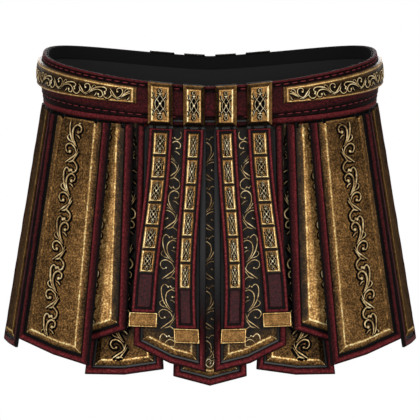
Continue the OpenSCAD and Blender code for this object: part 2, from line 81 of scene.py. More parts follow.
def finish(name, shades, mottles=(), grain=None, bump=(), roughness=(0.5, 0), metallic=0.0,
           specular=0.5, veil=None):
    # shades: (level, colour) along the ramp that a piece's own tone runs over; that tone also carries painted
    # light and shade
    # mottles: (mm, amount, detail); grain: (mm, amount, depth in mm); bump: (mm, depth in mm)
    # roughness: (middle, how far it wanders with the first mottle)
    material = bpy.data.materials.new(name)
    material.use_nodes = True
    tree = material.node_tree
    shader = tree.nodes["Principled BSDF"]
    place = addNode(tree, "ShaderNodeTexCoord").outputs["Object"]
    level = addNode(tree, "ShaderNodeAttribute", attribute_name="tone").outputs["Fac"]
    spots = []
    for size, amount, detail in mottles:
        spot = addNode(tree, "ShaderNodeTexNoise", {"Vector": place, "Scale": 1000 / size, "Detail": detail,
                                                    "Roughness": 0.6}).outputs["Fac"]
        spots.append(spot)
        centred = addNode(tree, "ShaderNodeMath", {0: spot, 1: 0.5}, operation="SUBTRACT").outputs[0]
        level = addNode(tree, "ShaderNodeMath", {0: centred, 1: amount, 2: level},
                        operation="MULTIPLY_ADD").outputs[0]
    heights = []
    if grain:
        size, amount, depth = grain
        cells = addNode(tree, "ShaderNodeTexVoronoi", {"Vector": place, "Scale": 1000 / size},
                        feature="SMOOTH_F1").outputs["Distance"]
        heights.append((cells, -depth))
        # 0.42 is the middle of the cells' distances, so the grain darkens as much as it lightens
        pits = addNode(tree, "ShaderNodeMath", {0: cells, 1: 0.42}, operation="SUBTRACT").outputs[0]
        level = addNode(tree, "ShaderNodeMath", {0: pits, 1: -amount, 2: level},
                        operation="MULTIPLY_ADD").outputs[0]
    ramp = addNode(tree, "ShaderNodeValToRGB", {"Fac": level})
    while len(ramp.color_ramp.elements) < len(shades):
        ramp.color_ramp.elements.new(0.5)
    # all places first: elements sort themselves by place
    for element, (spot, colour) in zip(ramp.color_ramp.elements, shades):
        element.position = spot
    for element, (spot, colour) in zip(ramp.color_ramp.elements, shades):
        element.color = linear(colour)
    colour = ramp.outputs["Color"]
    if veil:
        # a dark film where the piece's own veil value asks for it: patina on the plates, painted shade on the
        # inner piping and inner rims, and a grey on the straps' raised panels
        film = addNode(tree, "ShaderNodeAttribute", attribute_name="veil").outputs["Fac"]
        cloud = addNode(tree, "ShaderNodeTexNoise", {"Vector": place, "Scale": 1000 / veil["size"],
                                                     "Detail": 5, "Roughness": 0.62}).outputs["Fac"]
        patches = addNode(tree, "ShaderNodeMath", {0: cloud, 1: veil["patchy"], 2: -veil["patchy"] / 2},
                          operation="MULTIPLY_ADD").outputs[0]
        cover = addNode(tree, "ShaderNodeMath", {0: patches, 1: film, 2: film}, operation="MULTIPLY_ADD",
                        use_clamp=True).outputs[0]
        # sockets 6, 7 and 2 are the colour ones of a mix node
        colour = addNode(tree, "ShaderNodeMix", {"Factor": cover, 6: colour, 7: linear(veil["colour"])},
                         data_type="RGBA").outputs[2]
        if metallic:
            # the film is not metal
            bare = addNode(tree, "ShaderNodeMath", {0: cover, 1: -metallic, 2: metallic},
                           operation="MULTIPLY_ADD").outputs[0]
            tree.links.new(bare, shader.inputs["Metallic"])
    elif metallic:
        shader.inputs["Metallic"].default_value = metallic
    tree.links.new(colour, shader.inputs["Base Color"])
    middle, wander = roughness
    if wander and spots:
        rough = addNode(tree, "ShaderNodeMapRange", {"Value": spots[0], "From Min": 0.3, "From Max": 0.7,
                                                     "To Min": middle - wander, "To Max": middle + wander})
        tree.links.new(rough.outputs[0], shader.inputs["Roughness"])
    else:
        shader.inputs["Roughness"].default_value = middle
    shader.inputs["Specular IOR Level"].default_value = specular
    for size, depth in bump:
        rise = addNode(tree, "ShaderNodeTexNoise", {"Vector": place, "Scale": 1000 / size, "Detail": 4,
                                                    "Roughness": 0.65})
        heights.append((rise.outputs["Fac"], depth))
    normal = None
    for height, depth in heights:
        relief = addNode(tree, "ShaderNodeBump", {"Height": height, "Distance": abs(depth) * mm,
                                                  "Strength": 1.0}, invert=depth < 0)
        if normal:
            tree.links.new(normal, relief.inputs["Normal"])
        normal = relief.outputs["Normal"]
    if normal:
        tree.links.new(normal, shader.inputs["Normal"])
    return material


redHide = finish(
    "waxedRedHide",  # dyed, waxed leather: deep red, dull sheen; its grain is drawn coarse, at 2 mm
    [(0.0, "#040202"), (0.2, "#130607"), (0.42, "#300f11"), (0.62, "#4f181b"), (0.8, "#6c2629"),
     (1.0, "#8e4345")],
    mottles=[(1.4, 0.75, 2), (26, 0.08, 2)], grain=(2.0, 0.4, 0.5), bump=[(9, 0.25)],
    # the grey veil is painted shade over the flaps' inner piping, and greys the straps' raised panels
    roughness=(0.66, 0.06), specular=0.05, veil=dict(colour="#313132", size=40, patchy=0.2))
blackHide = finish(
    "blackenedHide",  # dyed edge and channel leather: charcoal, satin
    [(0.0, "#040404"), (0.3, "#0f0f0f"), (0.6, "#222222"), (1.0, "#474746")],
    mottles=[(2.2, 0.12, 2), (30, 0.15, 2)], grain=(2.1, 0.08, 0.2), roughness=(0.6, 0.05), specular=0.06)
liningHide = finish(
    "mattLining",  # napped lining leather: nearly black, no shine; the nap is drawn coarser than life
    [(0.0, "#0e0e0e"), (0.5, "#181818"), (1.0, "#242424")],
    mottles=[(3.0, 0.1, 3), (60, 0.12, 2)], bump=[(1.6, 0.12)], roughness=(0.85, 0), specular=0.08)
brassShades = [(0.0, "#0a0603"), (0.16, "#1e1309"), (0.34, "#422f19"), (0.5, "#684b29"), (0.66, "#946c3d"),
               (0.8, "#c6975a"), (0.92, "#e8c984"), (1.0, "#fbeeb8")]
patina = dict(colour="#100e0d", size=7, patchy=0.9)
agedBrass = finish(
    "agedBrass",  # sheet brass, browned and speckled; the tones it is given paint shade in the hollows and highlights on its rubbed edges
    brassShades, mottles=[(2.0, 1.35, 4), (14, 0.4, 3)], bump=[(2.4, 0.4), (9, 0.4)],
    roughness=(0.46, 0.1), metallic=0.8, specular=0.1, veil=patina)
polishedBrass = finish(
    "polishedBrass",  # smoother brass of the belt fittings: warm gold with soft brown clouds
    brassShades, mottles=[(1.8, 0.75, 3), (8, 0.45, 3)], bump=[(2.0, 0.2), (9, 0.3)],
    roughness=(0.4, 0.08), metallic=0.7, specular=0.1, veil=patina)
shadedSideBrass = finish(
    "shadedSideBrass",  # side plates' brass: a darker, duller copy that paints shade on them, so that it stays dark when seen edge on
    [(0.0, "#080503"), (0.3, "#2a1c0e"), (0.6, "#5f4323"), (0.8, "#8f6a38"), (1.0, "#d8b878")],
    mottles=[(2.8, 0.8, 4), (14, 0.4, 3)], bump=[(2.6, 0.4)], roughness=(0.6, 0.05), metallic=0.15,
    specular=0.0)
hammeredBrass = finish(
    "hammeredBrass",  # brighter brass with coarse hammer marks, drawn a little larger than life
    brassShades, mottles=[(2.0, 1.2, 3), (11, 0.6, 3)], bump=[(2.6, 0.5), (9, 0.4)],
    roughness=(0.42, 0.12), metallic=0.7, specular=0.1, veil=patina)
rubbedAndHighlitBrass = finish(
    "rubbedAndHighlitBrass",  # raised relief brass: pale crowns, rubbed and carrying painted highlights, with painted shade on the dark brown flanks
    [(0.0, "#0a0603"), (0.25, "#33220f"), (0.5, "#8a6a3e"), (0.75, "#dcc490"), (1.0, "#fff6d6")],
    mottles=[(2.6, 0.5, 3), (9, 0.9, 2)], bump=[(1.6, 0.15)], roughness=(0.4, 0.08), metallic=0.35,
    specular=0.2)
blackWaxAndShadow = finish(
    "blackWaxAndShadow",  # wax in the ground round the relief, matt black, and painted shadow where the ground is shifted below the strokes
    [(0.0, "#030202"), (1.0, "#0f0b08")], mottles=[(4, 0.4, 2)], roughness=(0.85, 0), specular=0.03)
waxedThread = finish(
    "waxedThread",  # twisted sewing thread in the leather's red
    [(0.0, "#14070a"), (0.5, "#54191d"), (1.0, "#7d3034")], mottles=[(1.2, 0.3, 1)], bump=[(0.9, 0.2)],
    roughness=(0.6, 0), specular=0.12)
drawnWire = finish(
    "drawnWire",  # drawn steel wire, dulled and dark
    [(0.0, "#1c1b1a"), (1.0, "#3a3937")], mottles=[(3, 0.4, 2)], roughness=(0.4, 0.1), metallic=0.9)
print("finishes made")


# mesh helpers
def newShape():
    return dict(points=[], faces=[], slots=[], tones=[], veils=[])


def addPoint(shape, point, tone=0.5, veil=0.0):
    shape["points"].append(tuple(point))
    shape["tones"].append(tone)
    shape["veils"].append(veil)
    return len(shape["points"]) - 1


def addFace(shape, corners, slot):
    shape["faces"].append(tuple(corners))
    shape["slots"].append(slot)


def addLoft(shape, loops, slot, tones, around=False, capped=False):
    # joins equal closed loops of points
    rows = [[addPoint(shape, p, tone) for p, tone in zip(loop, levels)] for loop, levels in zip(loops, tones)]
    joinRows(shape, rows, slot, around=around)
    if capped:
        addFace(shape, rows[0], slot)
        addFace(shape, rows[-1][::-1], slot)


def joinRows(shape, rows, slots, closed=True, around=False):
    # slots is one material number or one for each band
    count = len(rows[0])
    bands = len(rows) if around else len(rows) - 1
    for i in range(bands):
        a, b = rows[i], rows[(i + 1) % len(rows)]
        slot = slots if isinstance(slots, int) else slots[i]
        for j in range(count if closed else count - 1):
            k = (j + 1) % count
            addFace(shape, (a[j], a[k], b[k], b[j]), slot)


def mirrored(shape, face, side):
    # the front right shape, moved to another quarter
    sx = -1 if side == "left" else 1
    sy = -1 if face == "rear" else 1
    other = dict(shape)
    other["points"] = [(x * sx, y * sy, z) for x, y, z in shape["points"]]
    return other


def makePiece(name, shape, materials, body, replaced=(), sharp=38):
    mesh = bpy.data.meshes.new(name)
    mesh.from_pydata([(x * mm, y * mm, z * mm) for x, y, z in shape["points"]], [], shape["faces"])
    for material in materials:
        mesh.materials.append(material)
    mesh.polygons.foreach_set("material_index", shape["slots"])
    mesh.attributes.new("tone", "FLOAT", "POINT").data.foreach_set("value", shape["tones"])
    mesh.attributes.new("veil", "FLOAT", "POINT").data.foreach_set("value", shape["veils"])
    work = bmesh.new()
    work.from_mesh(mesh)
    bmesh.ops.recalc_face_normals(work, faces=work.faces)
    work.to_mesh(mesh)
    work.free()
    mesh.shade_smooth()
    mesh.set_sharp_from_angle(angle=math.radians(sharp))
    piece = bpy.data.objects.new(name, mesh)
    bpy.context.scene.collection.objects.link(piece)
    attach(piece, body)
    if replaced:
        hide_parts(*replaced)


# the belt's shape in mm, as in the CAD; its edges dip at the front and back and lean inwards
belt = dict(width=392, depth=292, power=2.7, height=59, topDip=22.6, topPower=1.43, bottomDip=9.2,
            bottomPower=1.7, topLean=3.5, bottomLean=4.5, fullShare=0.55, leather=5, lining=1.5,
            weltRadius=4.5, weltFlat=3.7, rollRadius=2.5, rollForward=1, inset=7.8, yokeDrop=16, yokeThick=11,
            yokeTop=2.5, sections=260)
halfWidth = belt["width"] / 2
halfDepth = belt["depth"] / 2
# how far above the bottom edge the band sits on the welt
bandLift = belt["weltRadius"] + math.sqrt(belt["weltRadius"] ** 2 - belt["weltFlat"] ** 2)


def ovalPoint(angle):
    s, c, power = math.sin(angle), math.cos(angle), belt["power"]
    reach = (abs(s / halfWidth) ** power + abs(c / halfDepth) ** power) ** (-1 / power)
    return reach * s, -reach * c


tableSteps = 360
ovalTable = [ovalPoint(math.pi * i / tableSteps) for i in range(tableSteps + 1)]
lengthTable = [0.0]
for before, after in zip(ovalTable, ovalTable[1:]):
    lengthTable.append(lengthTable[-1] + math.dist(before, after))
halfGirth = lengthTable[-1]


def outlineAt(s):
    # s runs along the belt in mm from the middle of the front, towards +X
    s = (s + halfGirth) % (2 * halfGirth) - halfGirth
    length = abs(s)
    low, high = 0, tableSteps
    while high - low > 1:
        middle = (low + high) // 2
        if lengthTable[middle] <= length:
            low = middle
        else:
            high = middle
    share = (length - lengthTable[low]) / (lengthTable[high] - lengthTable[low])
    x, y = ovalPoint(math.pi * (low + share) / tableSteps)
    return (-x if s < 0 else x), y


def facingAt(s):
    x, y = outlineAt(s)
    power = belt["power"] - 1
    nx = math.copysign((abs(x) / halfWidth) ** power / halfWidth, x)
    ny = math.copysign((abs(y) / halfDepth) ** power / halfDepth, y)
    return math.atan2(nx, -ny)


def dipAt(s, power=belt["bottomPower"]):
    return 1 - min(1, abs(outlineAt(s)[0]) / halfWidth) ** power


def topAt(s):
    return belt["height"] / 2 - belt["topDip"] * dipAt(s, belt["topPower"])


def bottomAt(s):
    return -belt["height"] / 2 - belt["bottomDip"] * dipAt(s)


def leanAt(s, z):
    share = (z - bottomAt(s)) / (topAt(s) - bottomAt(s))
    full = belt["fullShare"]
    if share > full:
        return belt["topLean"] * ((share - full) / (1 - full)) ** 2
    return belt["bottomLean"] * ((full - share) / full) ** 2


def plumbPoint(s, depth, z):
    x, y = outlineAt(s)
    facing = facingAt(s)
    return x + math.sin(facing) * depth, y - math.cos(facing) * depth, z


def wallPoint(s, depth, z):
    # depth counts outwards from the belt's leaning face
    return plumbPoint(s, depth - leanAt(s, z), z)


def spread(start, end, count):
    return [start + (end - start) * i / count for i in range(count + 1)]


ringStations = [halfGirth * (2 * i / belt["sections"] - 1) for i in range(belt["sections"])]


# belt leather
def stitchRise(s):
    # the lower stitch line keeps its distance from the welt, wider at the hips
    return 3.2 + 5.5 * (1 - dipAt(s))


# (measured from, distance, depth, tone): down the outside from the top edge, then up the inside
# top distances are mm, bottom ones shares of the stitch line's rise, middle ones shares of the height
# the tones paint a highlight on the top rim and shade in the grooves and in the crease over the welt
bandProfile = [
    ("top", 0.0, -3.6, 0.34), ("top", -0.1, -2.2, 0.42), ("top", 0.2, -0.9, 0.56), ("top", 1.0, 0.0, 0.6),
    ("top", 2.0, 0.0, 0.46), ("top", 2.6, -0.6, 0.18), ("top", 3.0, -1.2, 0.02), ("top", 3.9, -1.3, 0.05),
    ("top", 4.9, -1.0, 0.1), ("top", 5.8, -0.7, 0.04), ("top", 6.8, -0.3, 0.2), ("top", 8.5, 0.0, 0.36),
    ("middle", 0.6, 0.0, 0.4), ("middle", 0.4, 0.0, 0.42),
    ("bottom", 2.2, 0.0, 0.46), ("bottom", 1.7, -0.2, 0.4), ("bottom", 1.3, -0.8, 0.2),
    ("bottom", 1.05, -1.3, 0.04), ("bottom", 0.85, -1.4, 0.08), ("bottom", 0.6, -1.1, 0.2),
    ("bottom", 0.35, -0.6, 0.16), ("bottom", 0.12, -0.6, 0.04), ("bottom", 0.0, -1.4, 0.02),
    ("bottom", 0.0, -5.0, 0.02), ("middle", 0.5, -5.0, 0.2), ("top", 1.2, -5.0, 0.2)]


def bandHeight(s, where, distance):
    low = bottomAt(s) + bandLift
    if where == "top":
        return topAt(s) - distance
    if where == "bottom":
        return low + distance * stitchRise(s)
    return low + distance * (topAt(s) - low)


shape = newShape()
loops = [[wallPoint(s, depth, bandHeight(s, where, distance)) for where, distance, depth, tone in bandProfile]
         for s in ringStations]
addLoft(shape, loops, 0, [[entry[3] for entry in bandProfile]] * len(loops), around=True)
makePiece("beltBand", shape, [redHide], "belt", ["belt_band"], sharp=60)

# the lining stops a little under the top edge; the thicker yoke stands inside it
shape = newShape()
inside = -belt["leather"]
back = inside - belt["lining"]
# (share of the height, drop, depth)
liningProfile = [(1.0, 0.2, inside - 0.15), (1.0, 0.55, inside - 0.75), (1.0, 0.9, back), (0.66, 0, back),
                 (0.33, 0, back), (0, -0.3, back), (0, -0.3, inside - 0.15), (0.5, 0, inside - 0.15)]
loops = []
for s in ringStations:
    low = bottomAt(s) + bandLift
    high = topAt(s)
    loops.append([wallPoint(s, depth, low + (high - low) * share - drop)
                  for share, drop, depth in liningProfile])
addLoft(shape, loops, 0, [[0.32] * len(liningProfile)] * len(loops), around=True)
makePiece("beltLining", shape, [liningHide], "belt", ["belt_lining"], sharp=50)

shape = newShape()
yokeFront = -belt["inset"] - belt["weltRadius"] - 0.2
yokeBack = yokeFront - belt["yokeThick"]
loops = []
for s in ringStations:
    low = bottomAt(s)
    step = low + bandLift + 0.3
    top = topAt(s) - belt["yokeDrop"]
    out = back - 0.15
    loops.append([
        plumbPoint(s, yokeFront, low), plumbPoint(s, yokeFront, step), wallPoint(s, out, step),
        wallPoint(s, out, (step + top) / 2), wallPoint(s, out, top), wallPoint(s, out - 0.6, top + 0.2),
        wallPoint(s, out - belt["yokeTop"] + 0.5, top), wallPoint(s, out - belt["yokeTop"] - 0.3, top - 1.4),
        plumbPoint(s, (yokeBack + out) / 2 - 3.2, (step + top) / 2), plumbPoint(s, yokeBack, step),
        plumbPoint(s, yokeBack, low + 1.2), plumbPoint(s, yokeBack + 1.2, low)])
tones = [0.3, 0.3, 0.3, 0.3, 0.5, 0.9, 0.95, 0.85, 0.75, 0.6, 0.5, 0.4]  # paler along its top edge
addLoft(shape, loops, 0, [tones] * len(loops), around=True)
makePiece("flapYoke", shape, [liningHide], "belt", ["flap_yoke"], sharp=40)


# keepers' places, welt and small rolls
keepers = dict(innerWidth=24.2, outerWidth=28.3, gap=12.2, sideGap=11.9, thick=5.5, field=5.2, bevel=4.6,
               lip=1.0, lipThick=1.9, rise=0.5, strand=0.85, strandHeight=0.7, outline=1.05)
gapStart = keepers["gap"] / 2 + keepers["innerWidth"]
gapEnd = gapStart + keepers["sideGap"]
keeperPlaces = [(keepers["gap"] / 2 + keepers["innerWidth"] / 2, keepers["innerWidth"]),
                (gapEnd + keepers["outerWidth"] / 2, keepers["outerWidth"])]
keepersEnd = keeperPlaces[1][0] + keepers["outerWidth"] / 2


def addRoll(shape, start, end, count, radius, lift, centreDepth, bright=1.0):
    # a stuffed roll under the band, with faint creases across it
    top = math.asin(min(1, (lift - radius) / radius))
    angles = spread(-math.pi - top, top, 15)
    loops, tones = [], []
    for i, s in enumerate(spread(start, end, count)):
        swell = 0.12 * noise.noise(Vector((s * 0.11, radius, 0)))
        fromEnd = min(i, count - i)
        pinch = 0.45 if fromEnd == 0 else (0.85 if fromEnd == 1 else 1.0)
        r = radius * pinch + (swell if fromEnd > 1 else 0)
        loops.append([plumbPoint(s, centreDepth + r * math.cos(a), bottomAt(s) + radius + r * math.sin(a))
                      for a in angles])
        # painted shade where it lies against its neighbours, a painted highlight a little above its middle
        tones.append([bright * (0.15 if a < -2.6 or a > 0.9 else 0.3 + 0.36 * math.cos(a - 0.35))
                      for a in angles])
    addLoft(shape, loops, 0, tones, capped=True)


shape = newShape()
gap = 0.15
for side in (-1, 1):
    addRoll(shape, side * (keepersEnd + gap), side * (halfGirth - keepersEnd - gap), 110, belt["weltRadius"],
            bandLift, -belt["inset"])
# the small rolls in the gaps between the keepers, darkened to 0.6 as painted shade
small = dict(count=8, radius=belt["rollRadius"], lift=1.8 * belt["rollRadius"],
             centreDepth=belt["rollForward"] - belt["inset"], bright=0.6)
slitSection = ((-7.5, 4.2), (-5.2, 4.2), (-4.7, 4.8), (-4.7, 6.6), (-5.2, 7.0), (-7.5, 7.0))
for rear in (0, 1):
    base = halfGirth if rear else 0
    for side in (-1, 1):
        start, end = side * (gapStart + gap), side * (gapEnd - gap)
        addRoll(shape, base - start if rear else start, base - end if rear else end, **small)
    addRoll(shape, base - keepers["gap"] / 2 + gap, base + keepers["gap"] / 2 - gap, **small)
    # a dark strip closes the slit above each small roll
    slit = (gapStart + gapEnd) / 2
    for middle, wide in ((0, keepers["gap"]), (slit, keepers["sideGap"]), (-slit, keepers["sideGap"])):
        rows = []
        for s in spread(base + middle - wide / 2 + 0.6, base + middle + wide / 2 - 0.6, 6):
            rows.append([plumbPoint(s, depth, bottomAt(s) + z) for depth, z in slitSection])
        addLoft(shape, rows, 1, [[0.3, 0.5, 0.8, 0.8, 0.4, 0.3]] * len(rows), capped=True)
makePiece("beltWelt", shape, [redHide, blackHide], "belt", ["belt_welt"], sharp=50)


# stitches
stitches = dict(pitch=10.0, dash=7.3, radius=0.6, topDrop=4.6, topDepth=-0.95, bottomShare=0.92,
                bottomDepth=-1.15, shift=4, clear=3)


def addStitch(shape, s, depth, zAt):
    # a round dash of thread that dips into the leather at both ends
    loops, tones = [], []
    for t in spread(0, 1, 6):
        here = s + (t - 0.5) * stitches["dash"]
        bow = math.sin(math.pi * t)
        r = stitches["radius"] * (0.45 + 0.55 * min(1, bow * 2.2))
        z = zAt(here)
        loops.append([wallPoint(here, depth - 0.5 + 0.75 * bow ** 0.5 + r * math.cos(a), z + r * math.sin(a))
                      for a in spread(0, 2 * math.pi, 6)[:-1]])
        # a painted highlight on each dash's outer side and middle
        tones.append([0.35 + 0.35 * bow + 0.15 * math.cos(a) for a in spread(0, 2 * math.pi, 6)[:-1]])
    addLoft(shape, loops, 0, tones, capped=True)


shape = newShape()
count = int((halfGirth - 2 * 6) / stitches["pitch"])
for side in (-1, 1):
    for i in range(count):
        s = side * (stitches["pitch"] * (i + 0.5) + 3)
        fromMiddle = min(abs(s), halfGirth - abs(s))
        if any(abs(fromMiddle - place) < width / 2 + stitches["clear"] for place, width in keeperPlaces):
            continue  # hidden under a keeper
        addStitch(shape, s, stitches["topDepth"], lambda here: topAt(here) - stitches["topDrop"])
        addStitch(shape, s + side * stitches["shift"], stitches["bottomDepth"],
                  lambda here: bottomAt(here) + bandLift + stitches["bottomShare"] * stitchRise(here))
makePiece("beltStitches", shape, [waxedThread], "belt", sharp=70)
print("belt leather built")


# bevelled panels
def insetOutline(outline, d):
    # d is one distance or one for each edge, starting with the edge after the first point
    steps = [d] * len(outline) if isinstance(d, (int, float)) else d
    out = []
    count = len(outline)
    for i, (x, y) in enumerate(outline):
        ax, ay = outline[i - 1]
        bx, by = outline[(i + 1) % count]
        u = Vector((x - ax, y - ay)).normalized()
        v = Vector((bx - x, by - y)).normalized()
        m, k = Vector((-u.y, u.x)), Vector((-v.y, v.x))
        turn = m.x * k.y - m.y * k.x
        before, after = steps[i - 1], steps[i]
        if abs(turn) < 1e-4:
            out.append((x + m.x * before, y + m.y * before))
        else:
            out.append((x + (before * k.y - after * m.y) / turn, y + (after * m.x - before * k.x) / turn))
    return out


def spanAt(spans, edge, d):
    # how far in a moulding of the nominal distance d lies along an edge
    table = (spans or {}).get(edge)
    if not table:
        return d
    for (d0, v0), (d1, v1) in zip(table, table[1:]):
        if d <= d1:
            break
    return v0 + (v1 - v0) * (d - d0) / (d1 - d0)


def openInset(outline, d, top, spans=None):
    # the outline drawn in by d while its top edge stays at the height top
    inner, bottom, outer = (spanAt(spans, edge, d) for edge in ("inner", "bottom", "outer"))
    return insetOutline([(x, top if y == 0 else y) for x, y in outline], [inner, bottom, bottom, outer, 0])


def edgeShares(length, spacing, near=(1.4, 4.0)):
    # shares along an edge, closer together near both ends
    ends = [d / length for d in near if d < length * 0.3]
    inner = max(1, round((length - 2 * (near[-1] if ends else 0)) / spacing))
    start = ends[-1] if ends else 0
    middle = spread(start, 1 - start, inner)[1:-1] if ends else spread(0, 1, inner)[1:-1]
    return [0.0] + ends + middle + [1 - e for e in reversed(ends)] + [1.0]


def panelPlan(outline, spacing):
    # outline: inner top, inner bottom, bottom middle, outer bottom, outer top
    a, b, c, d, e = [Vector(p) for p in outline]
    side = edgeShares(((b - a).length + (e - d).length) / 2, spacing)
    half = edgeShares(((c - b).length + (d - c).length) / 2, spacing)
    return dict(side=side, half=half, nSide=len(side) - 1, nHalf=len(half) - 1,
                nOpen=2 * (len(side) + len(half)) - 3)


def ringPoints(outline, plan, soften=0.0):
    # points down the inner side, along the bottom, up the outer side and back along the top
    a, b, c, d, e = [Vector(p) for p in outline]
    points, edges = [], []

    def run(start, end, shares, edge):
        for share in shares[:-1]:
            points.append(start.lerp(end, share))
            edges.append(edge)

    run(a, b, plan["side"], "inner")
    run(b, c, plan["half"], "bottom")
    run(c, d, plan["half"], "bottom")
    run(d, e, plan["side"], "outer")
    middle = (a + e) / 2
    run(e, middle, plan["half"], "top")
    run(middle, a, plan["half"], "top")
    edges[plan["nOpen"] - 1] = "outer"
    if soften:
        n1, n2 = plan["nSide"], plan["nHalf"]
        for corner in (n1, n1 + 2 * n2):
            points[corner] = points[corner].lerp((points[corner - 1] + points[corner + 1]) / 2, soften)
    return points, edges


def atPlace(value, p):
    # tones and veils are numbers or functions of the place
    return value(p.x, p.y) if callable(value) else value


def fillPanel(shape, ring, plan, slot, place, height, tone, veil, bumpy=0.0):
    # fills a ring with a grid that runs from the sides to each other
    n1, n2 = plan["nSide"], plan["nHalf"]
    flat = [shape["flat"][i] for i in ring]
    left = list(range(0, n1 + 1))
    bottom = list(range(n1, n1 + 2 * n2 + 1))
    right = list(range(n1 + 2 * n2, 2 * n1 + 2 * n2 + 1))[::-1]
    top = (list(range(2 * n1 + 2 * n2, 2 * n1 + 4 * n2)) + [0])[::-1]
    rows = []
    for j in range(n1 + 1):
        row = []
        for i in range(2 * n2 + 1):
            if j == 0:
                row.append(ring[top[i]])
            elif j == n1:
                row.append(ring[bottom[i]])
            elif i == 0:
                row.append(ring[left[j]])
            elif i == 2 * n2:
                row.append(ring[right[j]])
            else:
                u = (flat[top[i]] - flat[top[0]]).length / (flat[top[-1]] - flat[top[0]]).length
                v = (flat[left[j]] - flat[left[0]]).length / (flat[left[-1]] - flat[left[0]]).length
                p = (flat[left[j]] * (1 - u) + flat[right[j]] * u
                     + flat[top[i]] * (1 - v) + flat[bottom[i]] * v
                     - flat[top[0]] * (1 - u) * (1 - v) - flat[top[-1]] * u * (1 - v)
                     - flat[bottom[0]] * (1 - u) * v - flat[bottom[-1]] * u * v)
                lift = bumpy * noise.noise(Vector((p.x * 0.16, p.y * 0.16, height))) if bumpy else 0
                spot = place(p.x, p.y, height + lift)
                row.append(addPoint(shape, spot, atPlace(tone, p), atPlace(veil, p)))
                shape["flat"].append(p)
        rows.append(row)
    joinRows(shape, rows, slot, closed=False)


def alike(rows, slot=0, soften=0, veil=0):
    # rings, given as (inset, height, tone), that share the rest
    return [(inset, height, tone, slot, soften, veil) for inset, height, tone in rows]


def ringRow(shape, outline, plan, ring, place, waver, count=None):
    # places one ring's points; shape["flat"] remembers where they lie in the panel's own plane
    inset, height, tones, slot, soften, veil = ring
    points, edges = ringPoints(outline, plan, soften)
    row = []
    for p, edge in list(zip(points, edges))[:count]:
        tone = atPlace(tones[edge] if isinstance(tones, dict) else tones, p)
        wave = waver * noise.noise(Vector((p.x * 0.07, p.y * 0.07, inset * 0.1))) if waver else 0
        row.append(addPoint(shape, place(p.x, p.y, height + wave), tone, atPlace(veil, p)))
        shape["flat"] += [None] * (len(shape["points"]) - 1 - len(shape["flat"])) + [p]
    return row


def addPanel(shape, outline, rings, place, spacing=7.0, frontTone=0.5, frontVeil=0.0, bumpy=0.0, top=None,
             spans=None):
    # rings: (inset, height, tones by edge or one tone, slot of the band that follows, softness, veil)
    shape.setdefault("flat", [])
    plan = panelPlan(outline, spacing)
    rows = []
    for n, ring in enumerate(rings):
        drawn = insetOutline(outline, ring[0]) if top is None else openInset(outline, ring[0], top, spans)
        whole = top is None or n in (0, len(rings) - 1)
        rows.append(ringRow(shape, drawn, plan, ring, place, 0, None if whole else plan["nOpen"]))
    slots = [ring[3] for ring in rings]
    if top is None:
        joinRows(shape, rows, slots)
    else:
        side = plan["nOpen"]
        joinRows(shape, [row[:side] for row in rows], slots, closed=False)
        # the cut end at the hinge is one face
        addFace(shape, [row[0] for row in rows] + rows[-1][:side - 1:-1]
                + [row[side - 1] for row in rows[::-1]] + rows[0][side:], slots[0])
    fillPanel(shape, rows[0], plan, slots[0], place, rings[0][1], 0.3, 0.0)
    fillPanel(shape, rows[-1], plan, slots[-1], place, rings[-1][1], frontTone, frontVeil, bumpy)


def addRun(shape, outline, rings, place, top, spacing=6.0, waver=0.0, spans=None):
    # a moulding that runs down one side, along the bottom and up the other side
    shape.setdefault("flat", [])
    plan = panelPlan(outline, spacing)
    rows = [ringRow(shape, openInset(outline, ring[0], top, spans), plan, ring, place,
                    waver if ring[1] > 2 else 0, plan["nOpen"]) for ring in rings]
    joinRows(shape, rows, [ring[3] for ring in rings], closed=False, around=True)
    addFace(shape, [row[0] for row in rows], rings[0][3])
    addFace(shape, [row[-1] for row in rows][::-1], rings[0][3])


def addStubs(shape, section, place, low, high, leg):
    # carries a cross-section on above the hinge, with slots for the staples' legs
    # section: (x, height, tone, slot, veil), from left to right
    reach, floor = hinges["slot"], board["stubFloor"]
    cuts = [section[0][0], -leg - reach, -leg + reach, leg - reach, leg + reach, section[-1][0]]
    for start, end in zip(cuts[::2], cuts[1::2]):
        start, end = max(start, section[0][0]), min(end, section[-1][0])
        if end - start < 0.8:
            continue
        run = [between(section, start)] + [p for p in section if start < p[0] < end] + [between(section, end)]
        rows = []
        for y in (low, high):
            over = [addPoint(shape, place(x, y, max(h, floor + 0.1)), tone, veil)
                    for x, h, tone, slot, veil in run]
            rows.append(over + [addPoint(shape, place(x, y, floor), 0.2, 0)
                                for x, h, tone, slot, veil in run[::-1]])
        count = len(rows[0])
        for k in range(count):
            slot = run[k][3] if k < len(run) - 1 else run[0][3]
            after = (k + 1) % count
            addFace(shape, (rows[0][k], rows[0][after], rows[1][after], rows[1][k]), slot)
        addFace(shape, rows[0], run[0][3])
        addFace(shape, rows[1][::-1], run[0][3])


def between(section, x):
    # the section's values at x
    for a, b in zip(section, section[1:]):
        if a[0] <= x <= b[0]:
            share = (x - a[0]) / max(b[0] - a[0], 1e-6)
            height, tone, veil = (a[k] + (b[k] - a[k]) * share for k in (1, 2, 4))
            return x, height, tone, a[3], veil
    return section[0] if x < section[0][0] else section[-1]


